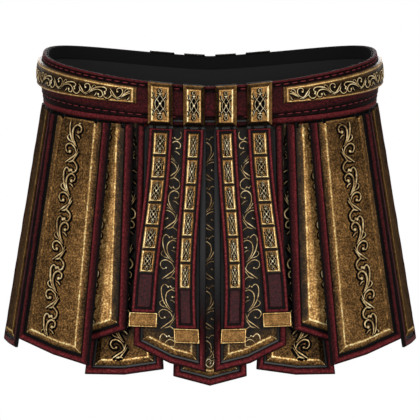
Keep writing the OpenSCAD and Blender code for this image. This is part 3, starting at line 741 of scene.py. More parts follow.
# relief strokes
def smoothPath(points, step):
    # a curve through the points, at about that spacing
    ends = [tuple(2 * a - b for a, b in zip(points[0], points[1]))] + list(points) + \
        [tuple(2 * a - b for a, b in zip(points[-1], points[-2]))]
    path = []
    # a cubic between each two points, steered by their neighbours
    for p0, p1, p2, p3 in zip(ends, ends[1:], ends[2:], ends[3:]):
        count = max(2, math.ceil(math.dist(p1, p2) / step))
        for i in range(count):
            t = i / count
            path.append(Vector([0.5 * (2 * b + (c - a) * t + (2 * a - 5 * b + 4 * c - d) * t * t
                                       + (3 * b - a - 3 * c + d) * t ** 3)
                                for a, b, c, d in zip(p0, p1, p2, p3)]))
    path.append(Vector(points[-1]))
    return path


groundRise = 0.3  # how far the black ground stands above a face's bumps
shadowShift = Vector((-0.5, -0.5))  # the black ground is shifted below the strokes, towards the middle, as a painted shadow


def addStroke(shape, path, place, base, width, height, outline=0.0, slots=(0, 1), tones=(0.35, 0.9),
              taper=(0.35, 0.5), bulb=0.0, layer=0):
    # a half-round stroke on a black ground; taper is its width at both ends, bulb a round drop at its end;
    # layer keeps the grounds of crossing strokes apart
    count = len(path) - 1
    sides = []
    for i, p in enumerate(path):
        along = (path[min(i + 1, count)] - path[max(i - 1, 0)]).normalized()
        sides.append(Vector((-along.y, along.x)))
    low, high = tones
    lift = base + (groundRise if outline else 0)
    ground = groundRise + 0.012 * layer
    loops, shades, under = [], [], []
    for i, p in enumerate(path):
        t = i / count
        w = width * (taper[0] + (1 - taper[0]) * min(1, t / 0.35)) * \
            (taper[1] + (1 - taper[1]) * min(1, (1 - t) / 0.3)) / 2
        h = height * (0.55 + 0.45 * min(1, 2 * w / width))
        side = sides[i]
        loops.append([place(*(p + side * w * a), lift + h * b) for a, b in
                      ((-1, -0.3), (-0.7, 0.62), (0, 1), (0.7, 0.62), (1, -0.3))])
        # a painted highlight along the crown and painted shade on the flanks
        flank = (low * 1.5 + high) / 2.5
        shades.append([low, flank, high, flank, low])
        reach = w + outline
        under.append([place(*(p + shadowShift + side * reach * a), base + b) for a, b in
                      ((-1, -0.1), (-0.9, ground), (0.9, ground), (1, -0.1))])
    addLoft(shape, loops, slots[0], shades, capped=True)
    if outline:
        addLoft(shape, under, slots[1], [[0.4] * 4] * len(under), capped=True)
    if bulb:
        addDrop(shape, path[-1], place, lift, bulb, height * 1.15, slots[0], tones)
        if outline:
            addDrop(shape, path[-1] + shadowShift, place, base, bulb + outline, ground + 0.02, slots[1],
                    (0.4, 0.4), flat=True)


def addDrop(shape, centre, place, base, radius, height, slot, tones, flat=False):
    rows = []
    # the tones rise to a painted highlight at the top
    steps = ((1.0, -0.1), (0.9, 1.0), (0.5, 1.0)) if flat else ((1.0, -0.1), (0.8, 0.6), (0.4, 0.92))
    for share, rise in steps:
        rows.append([addPoint(shape, place(centre.x + radius * share * math.cos(a),
                                           centre.y + radius * share * math.sin(a), base + height * rise),
                              tones[0] + (tones[1] - tones[0]) * max(0, rise))
                     for a in spread(0, 2 * math.pi, 10)[:-1]])
    joinRows(shape, rows, slot)
    tip = addPoint(shape, place(centre.x, centre.y, base + height), tones[1])
    for j in range(10):
        addFace(shape, (rows[-1][j], rows[-1][(j + 1) % 10], tip), slot)
    addFace(shape, rows[0][::-1], slot)


def addGround(shape, corners, place, base, height, slot):
    # a flat black field under an openwork pattern
    rows = [[addPoint(shape, place(x * k, y * k, base + h), 0.3) for x, y in corners]
            for k, h in ((1.0, -0.1), (1.0, height), (0.5, height))]
    joinRows(shape, rows, slot)
    middle = addPoint(shape, place(0, 0, base + height), 0.3)
    for j in range(len(corners)):
        addFace(shape, (rows[-1][j], rows[-1][(j + 1) % len(corners)], middle), slot)
    addFace(shape, rows[0][::-1], slot)


# one repeat of the running vine, in mm over a height of 57: (points, width share, bulb share)
vineRepeat = 57.0
bulbRadius = 0.78  # of the stroke's width
vineStrokes = [
    ([(-1.7, 2.1), (4.4, 3.8), (10.7, -1.0), (10.5, -6.7), (6.7, -9.2), (3.6, -6.9)], 1.0, 1.0),
    ([(6.8, -36), (2.1, -32.5), (-3.4, -25.2), (-6.2, -16.8), (-6.5, -8.4), (-3.0, -4.6), (1.0, -7.6)],
     1.2, 1.1),
    ([(4.8, -33.6), (0.6, -27.7), (-1.5, -21), (-0.2, -14.3), (5.2, -10.9), (10.3, -13.9), (10, -18.5),
      (6.3, -19.2)], 1.1, 1.15),
    ([(3.6, -22.5), (7.0, -23.6), (10.2, -26.6)], 0.8, 0),
    ([(-4.6, -22.8), (-8.0, -25.6), (-6.0, -29.4), (1.2, -32.0)], 0.8, 0),
    ([(7.8, -44.2), (4.6, -37.6), (-1.9, -33.8), (-7.4, -35.4), (-8.6, -40.0), (-5.4, -44.1), (-2.0, -42.8)],
     1.0, 1.1),
    ([(9.2, -38.0), (6.9, -45.2), (0.4, -50.6), (-6.2, -55.6)], 1.1, 0),
    ([(11.0, -41.5), (6.8, -48.4), (3.0, -53.6), (-1.7, -54.9)], 0.8, 0)]


def addVine(shape, origin, end, place, base, scale, width, height, outline, axis, tones, inside, slots=(0, 1),
            flip=1):
    # the vine down its axis from the height origin to end; strokes are cut where inside(x, y) is false
    y = origin
    index = 0
    while y > end:
        for points, thick, drop in vineStrokes:
            path = smoothPath([(axis(y + py * scale) + flip * px * scale, y + py * scale)
                               for px, py in points], max(0.8, 1.4 * scale))
            # the longest stretch inside
            kept, best = [], []
            for p in path:
                kept = kept + [p] if inside(p.x, p.y) else []
                if len(kept) > len(best):
                    best = kept
            if len(best) < 4:
                continue
            index += 1
            whole = best[-1] is path[-1]
            addStroke(shape, best, place, base, width * thick, height, outline, slots, tones,
                      bulb=drop * width * bulbRadius if whole else 0, layer=index % 5)
        y -= vineRepeat * scale


# hip plaques
# start is mm round the belt from the front and back middles, drop and rise are from the belt's edges
plaque = dict(start=84, drop=7.5, rise=24, bevel=4, edgeDepth=1.9, faceDepth=4.2, field=3.9, stroke=1.55,
              strokeHeight=0.6, outline=1.0, scale=0.68)


def plaqueBounds(s):
    return bottomAt(s) + plaque["rise"], topAt(s) - plaque["drop"]


# the tones paint highlights on the ridges and shade on the outer edges; the black field is the plaque's own
# colour
plaqueProfile = [  # (from the low edge or the high edge, distance, depth, tone)
    ("low", 0, 0.3, 0.1), ("low", 0, 1.5, 0.12), ("low", 0.3, 2.0, 0.3), ("low", 0.9, 3.0, 0.5),
    ("low", 1.7, 4.0, 0.7), ("low", 2.2, 4.2, 0.9), ("low", 2.8, 4.1, 0.6), ("low", 3.6, 3.9, 0.4),
    ("share", 0.32, 3.9, 0.12), ("share", 0.68, 3.9, 0.12), ("high", 3.6, 3.9, 0.4), ("high", 2.8, 4.1, 0.62),
    ("high", 2.2, 4.2, 0.92), ("high", 1.7, 4.0, 0.8), ("high", 0.9, 3.0, 0.55), ("high", 0.3, 2.0, 0.42),
    ("high", 0, 1.5, 0.2), ("high", 0, 0.3, 0.1), ("share", 0.5, 0.3, 0.1)]


def plaqueLoop(s, fromEnd):
    # the bar's section, drawn down and mitred over its end bevel
    low, high = plaqueBounds(s)
    loop = []
    bevelled = min(1, fromEnd / plaque["bevel"])
    limit = plaque["edgeDepth"] + (plaque["faceDepth"] - plaque["edgeDepth"]) * bevelled
    for where, distance, depth, tone in plaqueProfile:
        z = {"low": low + distance, "high": high - distance, "share": low + (high - low) * distance}[where]
        loop.append(wallPoint(s, min(depth, limit), z))
    return loop


# (up to this distance from the end, tone): a painted highlight on the end bevel's ridge, painted shade beside
# it
endTones = ((0.5, 0.5), (2, 0.34), (3.8, 0.5), (4.4, 0.97), (5, 0.6), (99, 0.4))
for side in (1, -1):
    shape = newShape()
    first, last = plaque["start"], halfGirth - plaque["start"]
    near = (0, 0.4, 1.6, 3.4, 4.1, 4.7, 5.6)
    stations = [first + d for d in near] + spread(first + 8, last - 8, 96) + [last - d for d in near[::-1]]
    loops, tones = [], []
    for s in stations:
        fromEnd = min(s - first, last - s)
        loops.append(plaqueLoop(side * s, fromEnd))
        row = []
        for where, distance, depth, tone in plaqueProfile:
            inset = distance if where != "share" else 99
            if fromEnd < min(inset * 2, 5.7) and depth > 1.5:
                # the end bevel carries the tones of its own distance from the edge
                tone = next(level for reach, level in endTones if fromEnd < reach)
            row.append(tone)
        tones.append(row)
    addLoft(shape, loops, 0, tones, capped=True)

    def onPlaque(x, y, h, side=side):
        low, high = plaqueBounds(side * -y)
        return wallPoint(side * -y, h, (low + high) / 2 + x)

    def onField(x, y):
        low, high = plaqueBounds(-y)
        return -last + 6.0 < y < -first - 6.0 and abs(x) < (high - low) / 2 - 2.7

    addVine(shape, -first + 8, -last + 5, onPlaque, plaque["field"], plaque["scale"], plaque["stroke"],
            plaque["strokeHeight"], plaque["outline"], lambda y: 0.8, (0.15, 0.85), onField, slots=(1, 2),
            flip=-1)
    makePiece("hipPlaque" + ("Right" if side == 1 else "Left"), shape, [polishedBrass, rubbedAndHighlitBrass, blackWaxAndShadow],
              "belt", ["hip_plaques"], sharp=50)
print("plaques built")


# keepers
# half of the interlace, in shares of the field's half width and half height: (points, width share)
interlaceStrokes = [
    ([(0, 1.0), (0.2, 0.9), (0.2, 0.8), (0, 0.7)], 0.9), ([(0, 0.62), (0.34, 0.66)], 1.0),
    ([(0, 0.6), (0.3, 0.36), (0.56, 0.16), (0.62, -0.05), (0.5, -0.26), (0.2, -0.42), (0, -0.6)], 1.0),
    ([(0.82, 0.74), (0.64, 0.46), (0.34, 0.25), (0, 0), (-0.34, -0.28), (-0.64, -0.46), (-0.86, -0.76)], 1.0),
    ([(0.96, 0.34), (0.64, 0.46)], 0.8), ([(0.94, -0.36), (0.64, -0.46)], 0.8),
    ([(0, -0.62), (0.34, -0.64)], 1.0), ([(0, -0.7), (0.22, -0.8), (0.2, -0.9), (0, -1.0)], 0.9)]
interlaceEdge = [(0, 0.66), (0.36, 0.44), (0.62, 0.3), (0.7, 0.08), (0.66, -0.16), (0.6, -0.36), (0.36, -0.5),
                 (0, -0.66)]


def addInterlace(shape, centre, halfW, halfH, place, sizes, step=0.8):
    # sizes: the field's height, the strands' width and height, and the black outline round them
    base, width, height, outline = (sizes[key] for key in ("field", "strand", "strandHeight", "outline"))
    relief, ground, tones = 1, 2, (0.35, 1.0)

    def onPatch(x, y, h):
        return place(centre[0] + x, centre[1] + y, h)

    corners = [(x * halfW, y * halfH) for x, y in interlaceEdge]
    corners += [(-x, y) for x, y in corners[-2:0:-1]]
    addGround(shape, corners, onPatch, base, groundRise, ground)
    index = 0
    for flip in (1, -1):
        for points, thick in interlaceStrokes:
            index += 1
            path = smoothPath([(flip * x * halfW, y * halfH) for x, y in points], step)
            addStroke(shape, path, onPatch, base, width * thick, height * (1 + 0.03 * (index % 4)), outline,
                      (relief, ground), tones, taper=(0.7, 0.6), layer=1 + index % 6)
    # round bosses in the middle and where the strands part
    for y, r in ((0, 1.7), (0.62, 1.15), (-0.62, 1.15)):
        addDrop(shape, Vector((0, y * halfH)), onPatch, base + groundRise, width * r, height * 1.4, relief,
                tones)


def buildKeepers(rear):
    shape = newShape()
    b, thick, lip, over = (keepers[key] for key in ("bevel", "thick", "lip", "lipThick"))

    def turned(p):
        return (p[0], -p[1], p[2]) if rear else p

    for side in (-1, 1):
        names = ("inner", "outer") if side == 1 else ("outer", "inner")
        for s0, width in keeperPlaces:
            half = width / 2
            centre = side * s0
            nominal = (topAt(centre) + lip - bottomAt(centre) - keepers["rise"]) / 2

            def onKeeper(x, y, h):
                s = centre + x
                low, high = bottomAt(s) + keepers["rise"], topAt(s) + lip
                return turned(plumbPoint(s, h, (low + high) / 2 + y * (high - low) / 2 / nominal))

            def edges(left, right, top, bottom):
                return dict(zip(names, (left, right)), top=top, bottom=bottom)

            outline = [(-half, nominal), (-half, -nominal), (0, -nominal), (half, -nominal), (half, nominal)]
            # the bevels' tones are painted light: the outer side lit, the inner side darker, the bottom bevel
            # in painted shade and the ridges as painted highlights
            rings = alike([
                (0.3, 0.15, 0.1), (0.0, 0.6, 0.1), (0.0, 2.1, edges(0.12, 0.44, 0.36, 0.02)),
                (0.35, 2.5, edges(0.3, 0.66, 0.6, 0.02)), (b * 0.5, 4.0, edges(0.18, 0.52, 0.34, 0.02)),
                (b - 0.6, thick - 0.3, edges(0.26, 0.6, 0.36, 0.04)), (b, thick, edges(0.72, 1.0, 0.74, 0.3)),
                (b + 0.9, thick, edges(0.9, 0.98, 0.78, 0.66)), (b + 1.6, keepers["field"], 0.6)])
            addPanel(shape, outline, rings, onKeeper, spacing=6, frontTone=0.62, bumpy=0.15)
            addInterlace(shape, (0, 0.9), (half - b) * 0.96, nominal - b - 1.9, onKeeper, keepers)
            # lip bent back over the belt's top edge
            loops = []
            reach = -belt["leather"] - belt["lining"] - belt["topLean"]
            for s in (centre - half, centre - half + 0.6, centre, centre + half - 0.6, centre + half):
                draw = 0.4 if abs(s - centre) == half else 0
                lipSection = [(0.5, -1.5), (over, -1.5), (over, 0.7 - draw), (1.2, lip - draw),
                              (reach + 0.5, 0.95 - draw), (reach, 0.7 - draw), (reach, 0.2), (0.5, 0.2)]
                loops.append([turned(plumbPoint(s, depth, topAt(s) + z)) for depth, z in lipSection])
            addLoft(shape, loops, 2, [[1.0] * 8] * 5, capped=True)
    name = "rear" if rear else "front"
    makePiece(name + "Keepers", shape, [polishedBrass, rubbedAndHighlitBrass, blackWaxAndShadow], "belt", [name + "_keepers"],
              sharp=45)


buildKeepers(False)
buildKeepers(True)
print("keepers built")


# flaps: place is mm round the belt from the middle, turn and flare are degrees; the widths at top and bottom
# and the lengths down the inner side, middle and outer side are mm; higher layers hang further behind;
# reach widens the foot on the inner side, and stub is how far the edges go on above the hinge
flapKinds = dict(
    centre=dict(place=0, turn=0, layer=2, top=70, bottom=84, inner=281, mid=292, outer=281, reach=0, stub=5),
    apron=dict(place=44, turn=0, layer=1, top=78, bottom=83, inner=275, mid=266, outer=247, reach=0, stub=3),
    under=dict(place=93, turn=0, layer=2, top=40, bottom=92, inner=273, mid=283, outer=286, reach=0, stub=5),
    quarter=dict(place=119, turn=3, layer=1, top=56, bottom=74, inner=229, mid=244.5, outer=258, reach=0,
                 stub=3),
    hip=dict(place=158, turn=1, layer=0, top=86, bottom=104, inner=275, mid=270, outer=259.5, reach=0,
             stub=0.6),
    side=dict(place=243.6, turn=0.5, layer=0, top=78, bottom=81, inner=271, mid=276, outer=278, reach=11.5,
              flare=9.4, stub=0.6))
# hinges: pitch between the layers and drop below the belt in mm, flare in degrees, less with each layer;
# legShare places the staples' legs, which have room in the notches of the loop and in the edges' slots
hinges = dict(pitch=6.7, drop=2.6, underDrop=3.4, flare=11, flareStep=0.8, loop=2.0, bore=1.12, legShare=0.28,
              notch=1.7, slot=2.4)


def hungPlace(point, facing, slope, flare):
    # from a flap's own x, height and depth to the belt's frame
    turn = Matrix.Translation(point) @ Matrix.Rotation(facing, 4, "Z") @ Matrix.Rotation(-slope, 4, "Y") @ \
        Matrix.Rotation(-flare, 4, "X")
    return lambda x, z, h: tuple(turn @ Vector((x, -h, z)))


def flapFrame(flap):
    s, half = flap["place"], flap["top"] / 2
    high, low = bottomAt(s + half), bottomAt(abs(s - half))
    slope = math.atan((high - low) / flap["top"])
    drop = hinges["drop"] + (hinges["underDrop"] if flap["layer"] else 0)
    z = min(bottomAt(s), (high + low) / 2) - drop
    point = plumbPoint(s, -belt["inset"] - flap["layer"] * hinges["pitch"], z)
    flare = flap.get("flare", hinges["flare"] - flap["layer"] * hinges["flareStep"])
    return point, facingAt(s) + math.radians(flap["turn"]), slope, math.radians(flare)


def flapOutline(flap, slope):
    k = math.tan(slope)
    half, reach = flap["bottom"] / 2, flap["reach"]
    return [(-flap["top"] / 2, 0), (-half - reach - flap["inner"] * k, -flap["inner"]),
            (-flap["mid"] * k, -flap["mid"]), (half - flap["outer"] * k, -flap["outer"]),
            (flap["top"] / 2, 0)]


# a flap's board, its piping and the channel inside it, and its plate, in mm
board = dict(thick=3.2, borderWidth=7.5, borderHeight=1.8, channel=3, plateHeight=2.6, faceDrop=0.2, bevel=6,
             borderStart=0.4, plateStart=1.7, top=1.6, stubFloor=2.1)


def movedTop(outline, drop):
    return [(x, -drop if y == 0 else y) for x, y in outline]


def addHingeLoop(shape, width, place, slot, tone=0.3):
    # the rolled top edge round the wire, open at the two notches
    leg = hinges["legShare"] * width
    runs = [(-width / 2, -leg - hinges["notch"]), (-leg + hinges["notch"], leg - hinges["notch"]),
            (leg + hinges["notch"], width / 2)]
    angles = spread(0, 2 * math.pi, 16)[:-1]
    for start, end in runs:
        rows = []
        for x, r in ((start, hinges["bore"]), (start, hinges["loop"] - 0.3), (start + 0.3, hinges["loop"]),
                     (end - 0.3, hinges["loop"]), (end, hinges["loop"] - 0.3), (end, hinges["bore"])):
            rows.append([place(x, r * math.sin(a), r * math.cos(a)) for a in angles])
        addLoft(shape, rows, slot, [[tone] * len(angles)] * len(rows), around=True)


def pipingSection(width, height, base):
    # the round piping's section: (distance in from the edge, height, number of its tone)
    section = []
    for k, angle in enumerate((14, 38, 64, 90, 116, 142, 166)):
        a = math.radians(angle)
        inset = width / 2 + 0.15 - (width / 2 - 0.3) * math.cos(a)
        section.append((inset, base + height * math.sin(a) ** 0.7, k))
    return section


def flapLeatherShape(kind, flap, outline, place):
    look = plateLooks[kind]
    spans = look["spans"]
    shape = newShape()
    half, border = board["thick"] / 2, board["borderWidth"]
    edge = dict(inner=0.3, outer=0.3, bottom=0.2, top=0.3)
    addPanel(shape, movedTop(outline, board["top"]), [
        (9.0, -half, 0.35, 0, 0, 0), (0.9, -half, 0.35, 0, 0.3, 0), (0.2, -half + 0.35, edge, 0, 0.3, 0),
        (0.0, -half + 0.9, edge, 0, 0.3, 0), (0.0, half - 0.5, edge, 0, 0.3, 0),
        (0.2, half - 0.05, 0.15, 0, 0.3, 0), (0.9, half, 0.1, 0, 0.2, 0), (9, half, 0.1, 0, 0, 0)],
        place, spacing=7, frontTone=0.1)
    piping = pipingSection(border, board["borderHeight"], half)
    # painted light across the piping: lit on one side of its round, in painted shade on the other
    across = dict(outer=(0.24, 0.56, 0.7, 0.74, 0.6, 0.42, 0.24),
                  inner=(0.2, 0.3, 0.4, 0.54, 0.74, 0.66, 0.28),
                  bottom=(0.2, 0.34, 0.62, 0.72, 0.62, 0.5, 0.26), top=(0.3,) * 7)

    def shaded(edge, k):
        level = across[edge][k]
        if edge == "outer":
            return level * look["outerPiping"]
        if edge == "inner" and look["innerFade"]:
            # painted shade higher up, red again towards the foot
            return lambda x, y: level * min(1.0, max(0.16, 1 - (y + look["innerFade"]) / 70))
        return level

    def pipingShade(x, y):
        # a veil of painted shade over the inner piping, thinner towards the foot
        if not look["innerFade"] or x > -flap["top"] * 0.3:
            return 0.0
        return min(0.9, max(0.0, (y + look["innerFade"] - 30) / 90))

    rings = [(0.35, half - 0.2, 0.12, 1, 0.3, 0)]
    rings += [(d, h, {edge: shaded(edge, k) for edge in across}, 1, 0.3, pipingShade) for d, h, k in piping]
    rings += [(border, half - 0.2, 0.1, 0, 0.2, 0)]
    addRun(shape, outline, rings, place, -board["borderStart"], spacing=5, waver=0.35, spans=spans)
    shine = look["channel"]
    # the grey band in the channel is a painted sheen, weaker on the sides
    channel = [(border + 0.05, half + 0.05, 0.04), (border + 0.4, half + 0.12, 0.4 * shine),
               (border + 1.0, half + 0.15, 0.8 * shine), (border + 2.4, half + 0.15, 1.05 * shine),
               (border + 2.8, half + 0.1, 0.15), (border + 3.3, half + 0.05, 0.04)]
    rings = alike([(border - 0.3, half - 0.3, 0.1)] +
                  [(d, h, dict(bottom=tone, inner=tone * 0.6, outer=tone * 0.6, top=tone))
                   for d, h, tone in channel] + [(border + 3.6, half - 0.3, 0.1)], soften=0.1)
    addRun(shape, outline, rings, place, -board["borderStart"], spacing=6, spans=spans)
    addHingeLoop(shape, flap["top"], place, 0, 0.1)
    # the edge mouldings go on above the hinge, between the staples' legs
    wide = flap["top"] / 2

    def stubSection(edge, veil):
        bright = look["outerPiping"] if edge == "outer" else 1
        parts = [(d, h, across[edge][k] * bright, 1) for d, h, k in piping]
        # above the hinge the channel keeps 0.3 of its tones, painted shade under the belt
        parts += [(d, h, tone * 0.3, 0) for d, h, tone in channel]
        return [(wide - spanAt(spans, edge, d), h, tone, slot, veil) for d, h, tone, slot in parts]

    right = stubSection("outer", 0)[::-1]
    left = [(-x, h, tone, slot, veil) for x, h, tone, slot, veil in stubSection("inner", pipingShade(-wide, 0))]
    for section in (left, right):
        addStubs(shape, section, place, -board["borderStart"], flap["stub"], hinges["legShare"] * flap["top"])
    return shape


# nominal distance in from the edge, and where it lies on that edge
broadInner = dict(inner=[(0, 0), (7.5, 9.9), (10.5, 10.7), (16.5, 19.4), (60, 63)],
                  outer=[(0, 0), (7.5, 6.2), (10.5, 10.5), (16.5, 16.5), (60, 60)])
narrowSide = dict(inner=[(0, 0), (7.5, 14.5), (10.5, 19.5), (16.5, 26), (60, 69)])
# tones paint light and shade: ridge along the inner bevel, a painted highlight on a rubbed edge, rim along
# the outer edge, field of the face, which glow, a painted highlight, lights up towards the middle; dark
# plates have a black film that starts fade mm above the lower bevel; the side veil is painted shade on the
# inner rim; channel and outerPiping are shares of the leather's tones, a painted sheen in the channel and
# painted shade on the outer piping; innerFade is where its inner piping has painted shade, in mm below the
# hinge; the vine's strokes are vine mm wide and relief mm high with outline mm of black round them, its first
# repeat starts first mm above the hinge, and axis is its x there and the change with height
darkPlate = dict(dark=True, ridge=0.94, rim=0.3, field=0.4, glow=0.12, fade=-4, innerRimShade=0, channel=1.1,
                 innerFade=0, spans=None, outline=0, relief=0.35, scale=0.99)
brassPlate = dict(dark=False, glow=0.12, innerRimShade=0, channel=0.2, innerFade=0, spans=broadInner, scale=0.985)
plateLooks = dict(
    centre=darkPlate | dict(vine=1.1, first=52.4, axis=(0, 0), tones=(0.22, 0.6), channel=1.2, outerPiping=1),
    apron=darkPlate | dict(vine=1.2, first=54, axis=(0.2, 0.0085), tones=(0.25, 0.74), outerPiping=0.85,
                           innerFade=250),
    under=darkPlate | dict(fade=20, vine=1.9, outline=2.6, relief=0.5, first=18, scale=1.0, axis=(1.5, 0.022),
                           field=0.33, tones=(0.16, 0.72), outerPiping=0.9),
    quarter=brassPlate | dict(ridge=0.8, rim=0.5, field=0.7, glow=-0.02, innerRimShade=0.6, outerPiping=0.8,
                              vine=2.0, outline=1.2, relief=0.5, first=58, axis=(9, 0.03), tones=(0.2, 0.8)),
    hip=brassPlate | dict(ridge=0.86, rim=0.62, field=0.5, innerRimShade=0.12, outerPiping=0.72, vine=2.5,
                          outline=1.8, relief=0.8, first=60.4, axis=(4.7, 0.0272), tones=(0.16, 0.74)),
    side=brassPlate | dict(ridge=0.8, rim=0.5, field=0.4, outerPiping=0.7, vine=0, spans=narrowSide))


# where strokes may lie, in mm inside the face, and how low they start at the hinge and grow with each mm down
onFace = dict(side=1.2, foot=1.6, top=0.5, topUnderWelt=2.2, least=0.25, growth=0.1, growsFrom=-3)

# the bright curl over the centre plate's point, in mm above the ridge: (points, width)
footCurl = [
    ([(-1.5, 26), (3.2, 20), (4.9, 13), (3.4, 7), (-0.6, 4.4), (-4.2, 6.6), (-4.6, 11), (-1.6, 13.6),
      (1.2, 11.6), (0.4, 8.8)], 1.5),
    ([(4.4, 27), (5.6, 20), (5.9, 14), (5.0, 8.6)], 1.0)]


def flapPlateShape(kind, flap, outline, place):
    look = plateLooks[kind]
    shape = newShape()
    half = board["thick"] / 2
    start = board["borderWidth"] + board["channel"]
    top = -board["plateStart"]
    spans = look["spans"]
    plate = openInset(outline, start, top, spans)
    b, rise = board["bevel"], board["plateHeight"]
    sideBevel = spanAt(spans, "inner", start + b) - spanAt(spans, "inner", start)
    face = half + rise - board["faceDrop"]
    lowest = min(p[1] for p in plate)

    def veil(x, y):
        if not look["dark"]:
            return 0.0
        # the film thickens over 20 mm, so the worn foot stays bright
        above = y - bottomEdge(plate, x) - b
        return min(1.0, max(0.0, (above - look["fade"]) / 20.0)) * 0.97

    def rimVeil(x, y):
        if look["innerRimShade"] and x < -flap["top"] * 0.2 and y > bottomEdge(plate, x) + b:
            return look["innerRimShade"]
        return veil(x, y) * 0.9

    field, rim = look["field"], look["rim"]
    light = 0.9 if look["dark"] else 1.0

    def edges(inner, outer, bottom):
        return dict(inner=inner * light, outer=outer * light, bottom=bottom * light, top=0.3)

    # painted light and shade: the outer side faces away from the middle, so its bevel reads as one with the
    # face, while the inner and lower bevels are painted in shade and the ridges carry painted highlights
    rings = alike([
        (start + 0.6, half, 0.1), (start, half + 0.2, edges(0.1, 0.2, 0.08)),
        (start + 0.1, half + 0.65, edges(0.16, rim, 0.26)),
        (start + 0.6, half + 0.8, edges(0.24, rim * 0.9, 0.4)),
        (start + b * 0.5, half + 1.75, edges(0.4, field, 0.56)),
        (start + b - 1.0, half + 2.4, edges(0.56, field, 0.66))], veil=rimVeil)
    rings += alike([
        (start + b - 0.4, half + rise - 0.05, edges(look["ridge"], field + 0.06, 1.0)),
        (start + b + 0.8, half + rise, edges(look["ridge"] - 0.02, field + 0.04, 0.9)),
        (start + b + 1.6, face, edges(field + look["glow"], field, field + 0.08))], veil=veil)

    def fieldTone(x, y):
        # a painted highlight towards the inner ridge and painted shade a little under the belt
        across = (x - middleLine(plate, y)) / (flap["bottom"] / 2)
        glow = look["glow"] * (max(0, -across - 0.45) * 1.3 - across * 0.8)
        return field + glow - 0.12 * max(0, 1 + y / 90)

    addPanel(shape, outline, rings, place, spacing=5.0, frontTone=fieldTone, frontVeil=veil, bumpy=0.12,
             top=top, spans=spans)

    def onField(x, y):
        # strokes stay on the flat field
        highest = top - (onFace["top"] if flap["layer"] else onFace["topUnderWelt"])
        if y > highest or y < bottomEdge(plate, x) + b + onFace["foot"]:
            return False
        share = (y - plate[0][1]) / (plate[1][1] - plate[0][1])
        left = plate[0][0] + (plate[1][0] - plate[0][0]) * share
        right = plate[4][0] + (plate[3][0] - plate[4][0]) * share
        room = onFace["side"]
        return left + sideBevel + room < x < right - (b if look["dark"] else 0) - room

    def lowRelief(x, y, h):
        # the relief sinks near the hinge, where the welt passes close by as the flap swings out
        grown = min(1.0, onFace["least"] + onFace["growth"] * max(0.0, onFace["growsFrom"] - y))
        return place(x, y, face + (h - face) * grown)

    if look["vine"]:
        offset, turn = look["axis"]
        addVine(shape, look["first"], lowest + b, lowRelief, face, look["scale"], look["vine"],
                look["relief"], look["outline"], lambda y: offset + turn * y, look["tones"], onField,
                slots=(1, 2), flip=-1)
    # the mitre lines at the lower corners catch the light
    inside, outside = [openInset(outline, start + d, top, spans) for d in (b - 0.3, 0.7)]
    for corner in (1, 3):
        a, c = Vector(inside[corner]), Vector(outside[corner])
        across = Vector((a.y - c.y, c.x - a.x)).normalized()
        loops = []
        for k in range(5):
            h = half + rise - (rise - 0.85) * k / 4
            loops.append([place(*(a.lerp(c, k / 4) + across * w), h + dh) for w, dh in
                          ((-0.75, -0.4), (0, 0.28), (0.75, -0.4))])
        addLoft(shape, loops, 0, [[0.5, 1.0, 0.5]] * len(loops), capped=True)
    if kind == "centre":
        for points, width in footCurl:
            path = smoothPath([(x, lowest + b + y) for x, y in points], 0.9)
            addStroke(shape, path, place, face, width, 0.62, 0, (1, 2), (0.5, 1.0), bulb=width * 0.7)
    wide = flap["top"] / 2
    right = [(wide - ring[0], ring[1], ring[2]["outer"], 0, rimVeil(0, 0)) for ring in rings[1:]]
    left = [(spanAt(spans, "inner", ring[0]) - wide, ring[1], ring[2]["inner"], 0, rimVeil(-wide, 0))
            for ring in rings[1:]]
    addStubs(shape, left + right[::-1], place, top, flap["stub"] - 0.5, hinges["legShare"] * flap["top"])
    return shape


def middleLine(plate, y):
    # the middle of a plate at a height
    def along(top, bottom):
        share = (y - top[1]) / (bottom[1] - top[1])
        return top[0] + (bottom[0] - top[0]) * share

    return (along(plate[0], plate[1]) + along(plate[4], plate[3])) / 2


def bottomEdge(plate, x):
    # the height of a plate's lower edge
    b, c, d = plate[1], plate[2], plate[3]
    if x < c[0]:
        share = (x - b[0]) / (c[0] - b[0])
        return b[1] + (c[1] - b[1]) * share
    share = (x - c[0]) / (d[0] - c[0])
    return c[1] + (d[1] - c[1]) * share


for kind, flap in flapKinds.items():
    point, facing, slope, flare = flapFrame(flap)
    place = hungPlace(point, facing, slope, flare)
    outline = flapOutline(flap, slope)
    leather = flapLeatherShape(kind, flap, outline, place)
    plate = flapPlateShape(kind, flap, outline, place)
    for face in ("front", "rear"):
        for side in ("left", "right"):
            if kind == "centre" and side == "left":
                continue
            body = f"{face}_centre_flap" if kind == "centre" else f"{face}_{side}_{kind}"
            label = face + ("" if kind == "centre" else side.capitalize()) + kind.capitalize()
            makePiece(label + "Leather", mirrored(leather, face, side), [blackHide, redHide], body,
                      [body + "_leather"], sharp=50)
            sheet = dict(quarter=hammeredBrass, side=shadedSideBrass).get(kind, agedBrass)
            makePiece(label + "Plate", mirrored(plate, face, side), [sheet, rubbedAndHighlitBrass, blackWaxAndShadow], body,
                      [body + "_plate"], sharp=40)
print("flaps built")


# straps
# lean in degrees, the rest in mm
straps = dict(
    inner=dict(place=keeperPlaces[0][0], width=24.0, length=245, lean=1.3, bow=3.8),
    outer=dict(place=keeperPlaces[1][0], width=27.4, length=228, lean=4.7, bow=0))
strapBuild = dict(thick=2.4, border=4.4, borderHeight=1.2, mount=1.8, mountBevel=1.4, count=6, gap=1.6,
                  panel=40, tip=16, wrap=2.2, wall=1.2, clear=0.1, inset=7.9, borderStart=1.7, mountStart=6.4,
                  tipCover=0.8, wave=1.5, topShare=0.5, sink=0.25)


def strip(width, start, end):
    # a straight outline between two distances below the hinge
    return [(-width / 2, -start), (-width / 2, -end), (0, -end), (width / 2, -end), (width / 2, -start)]


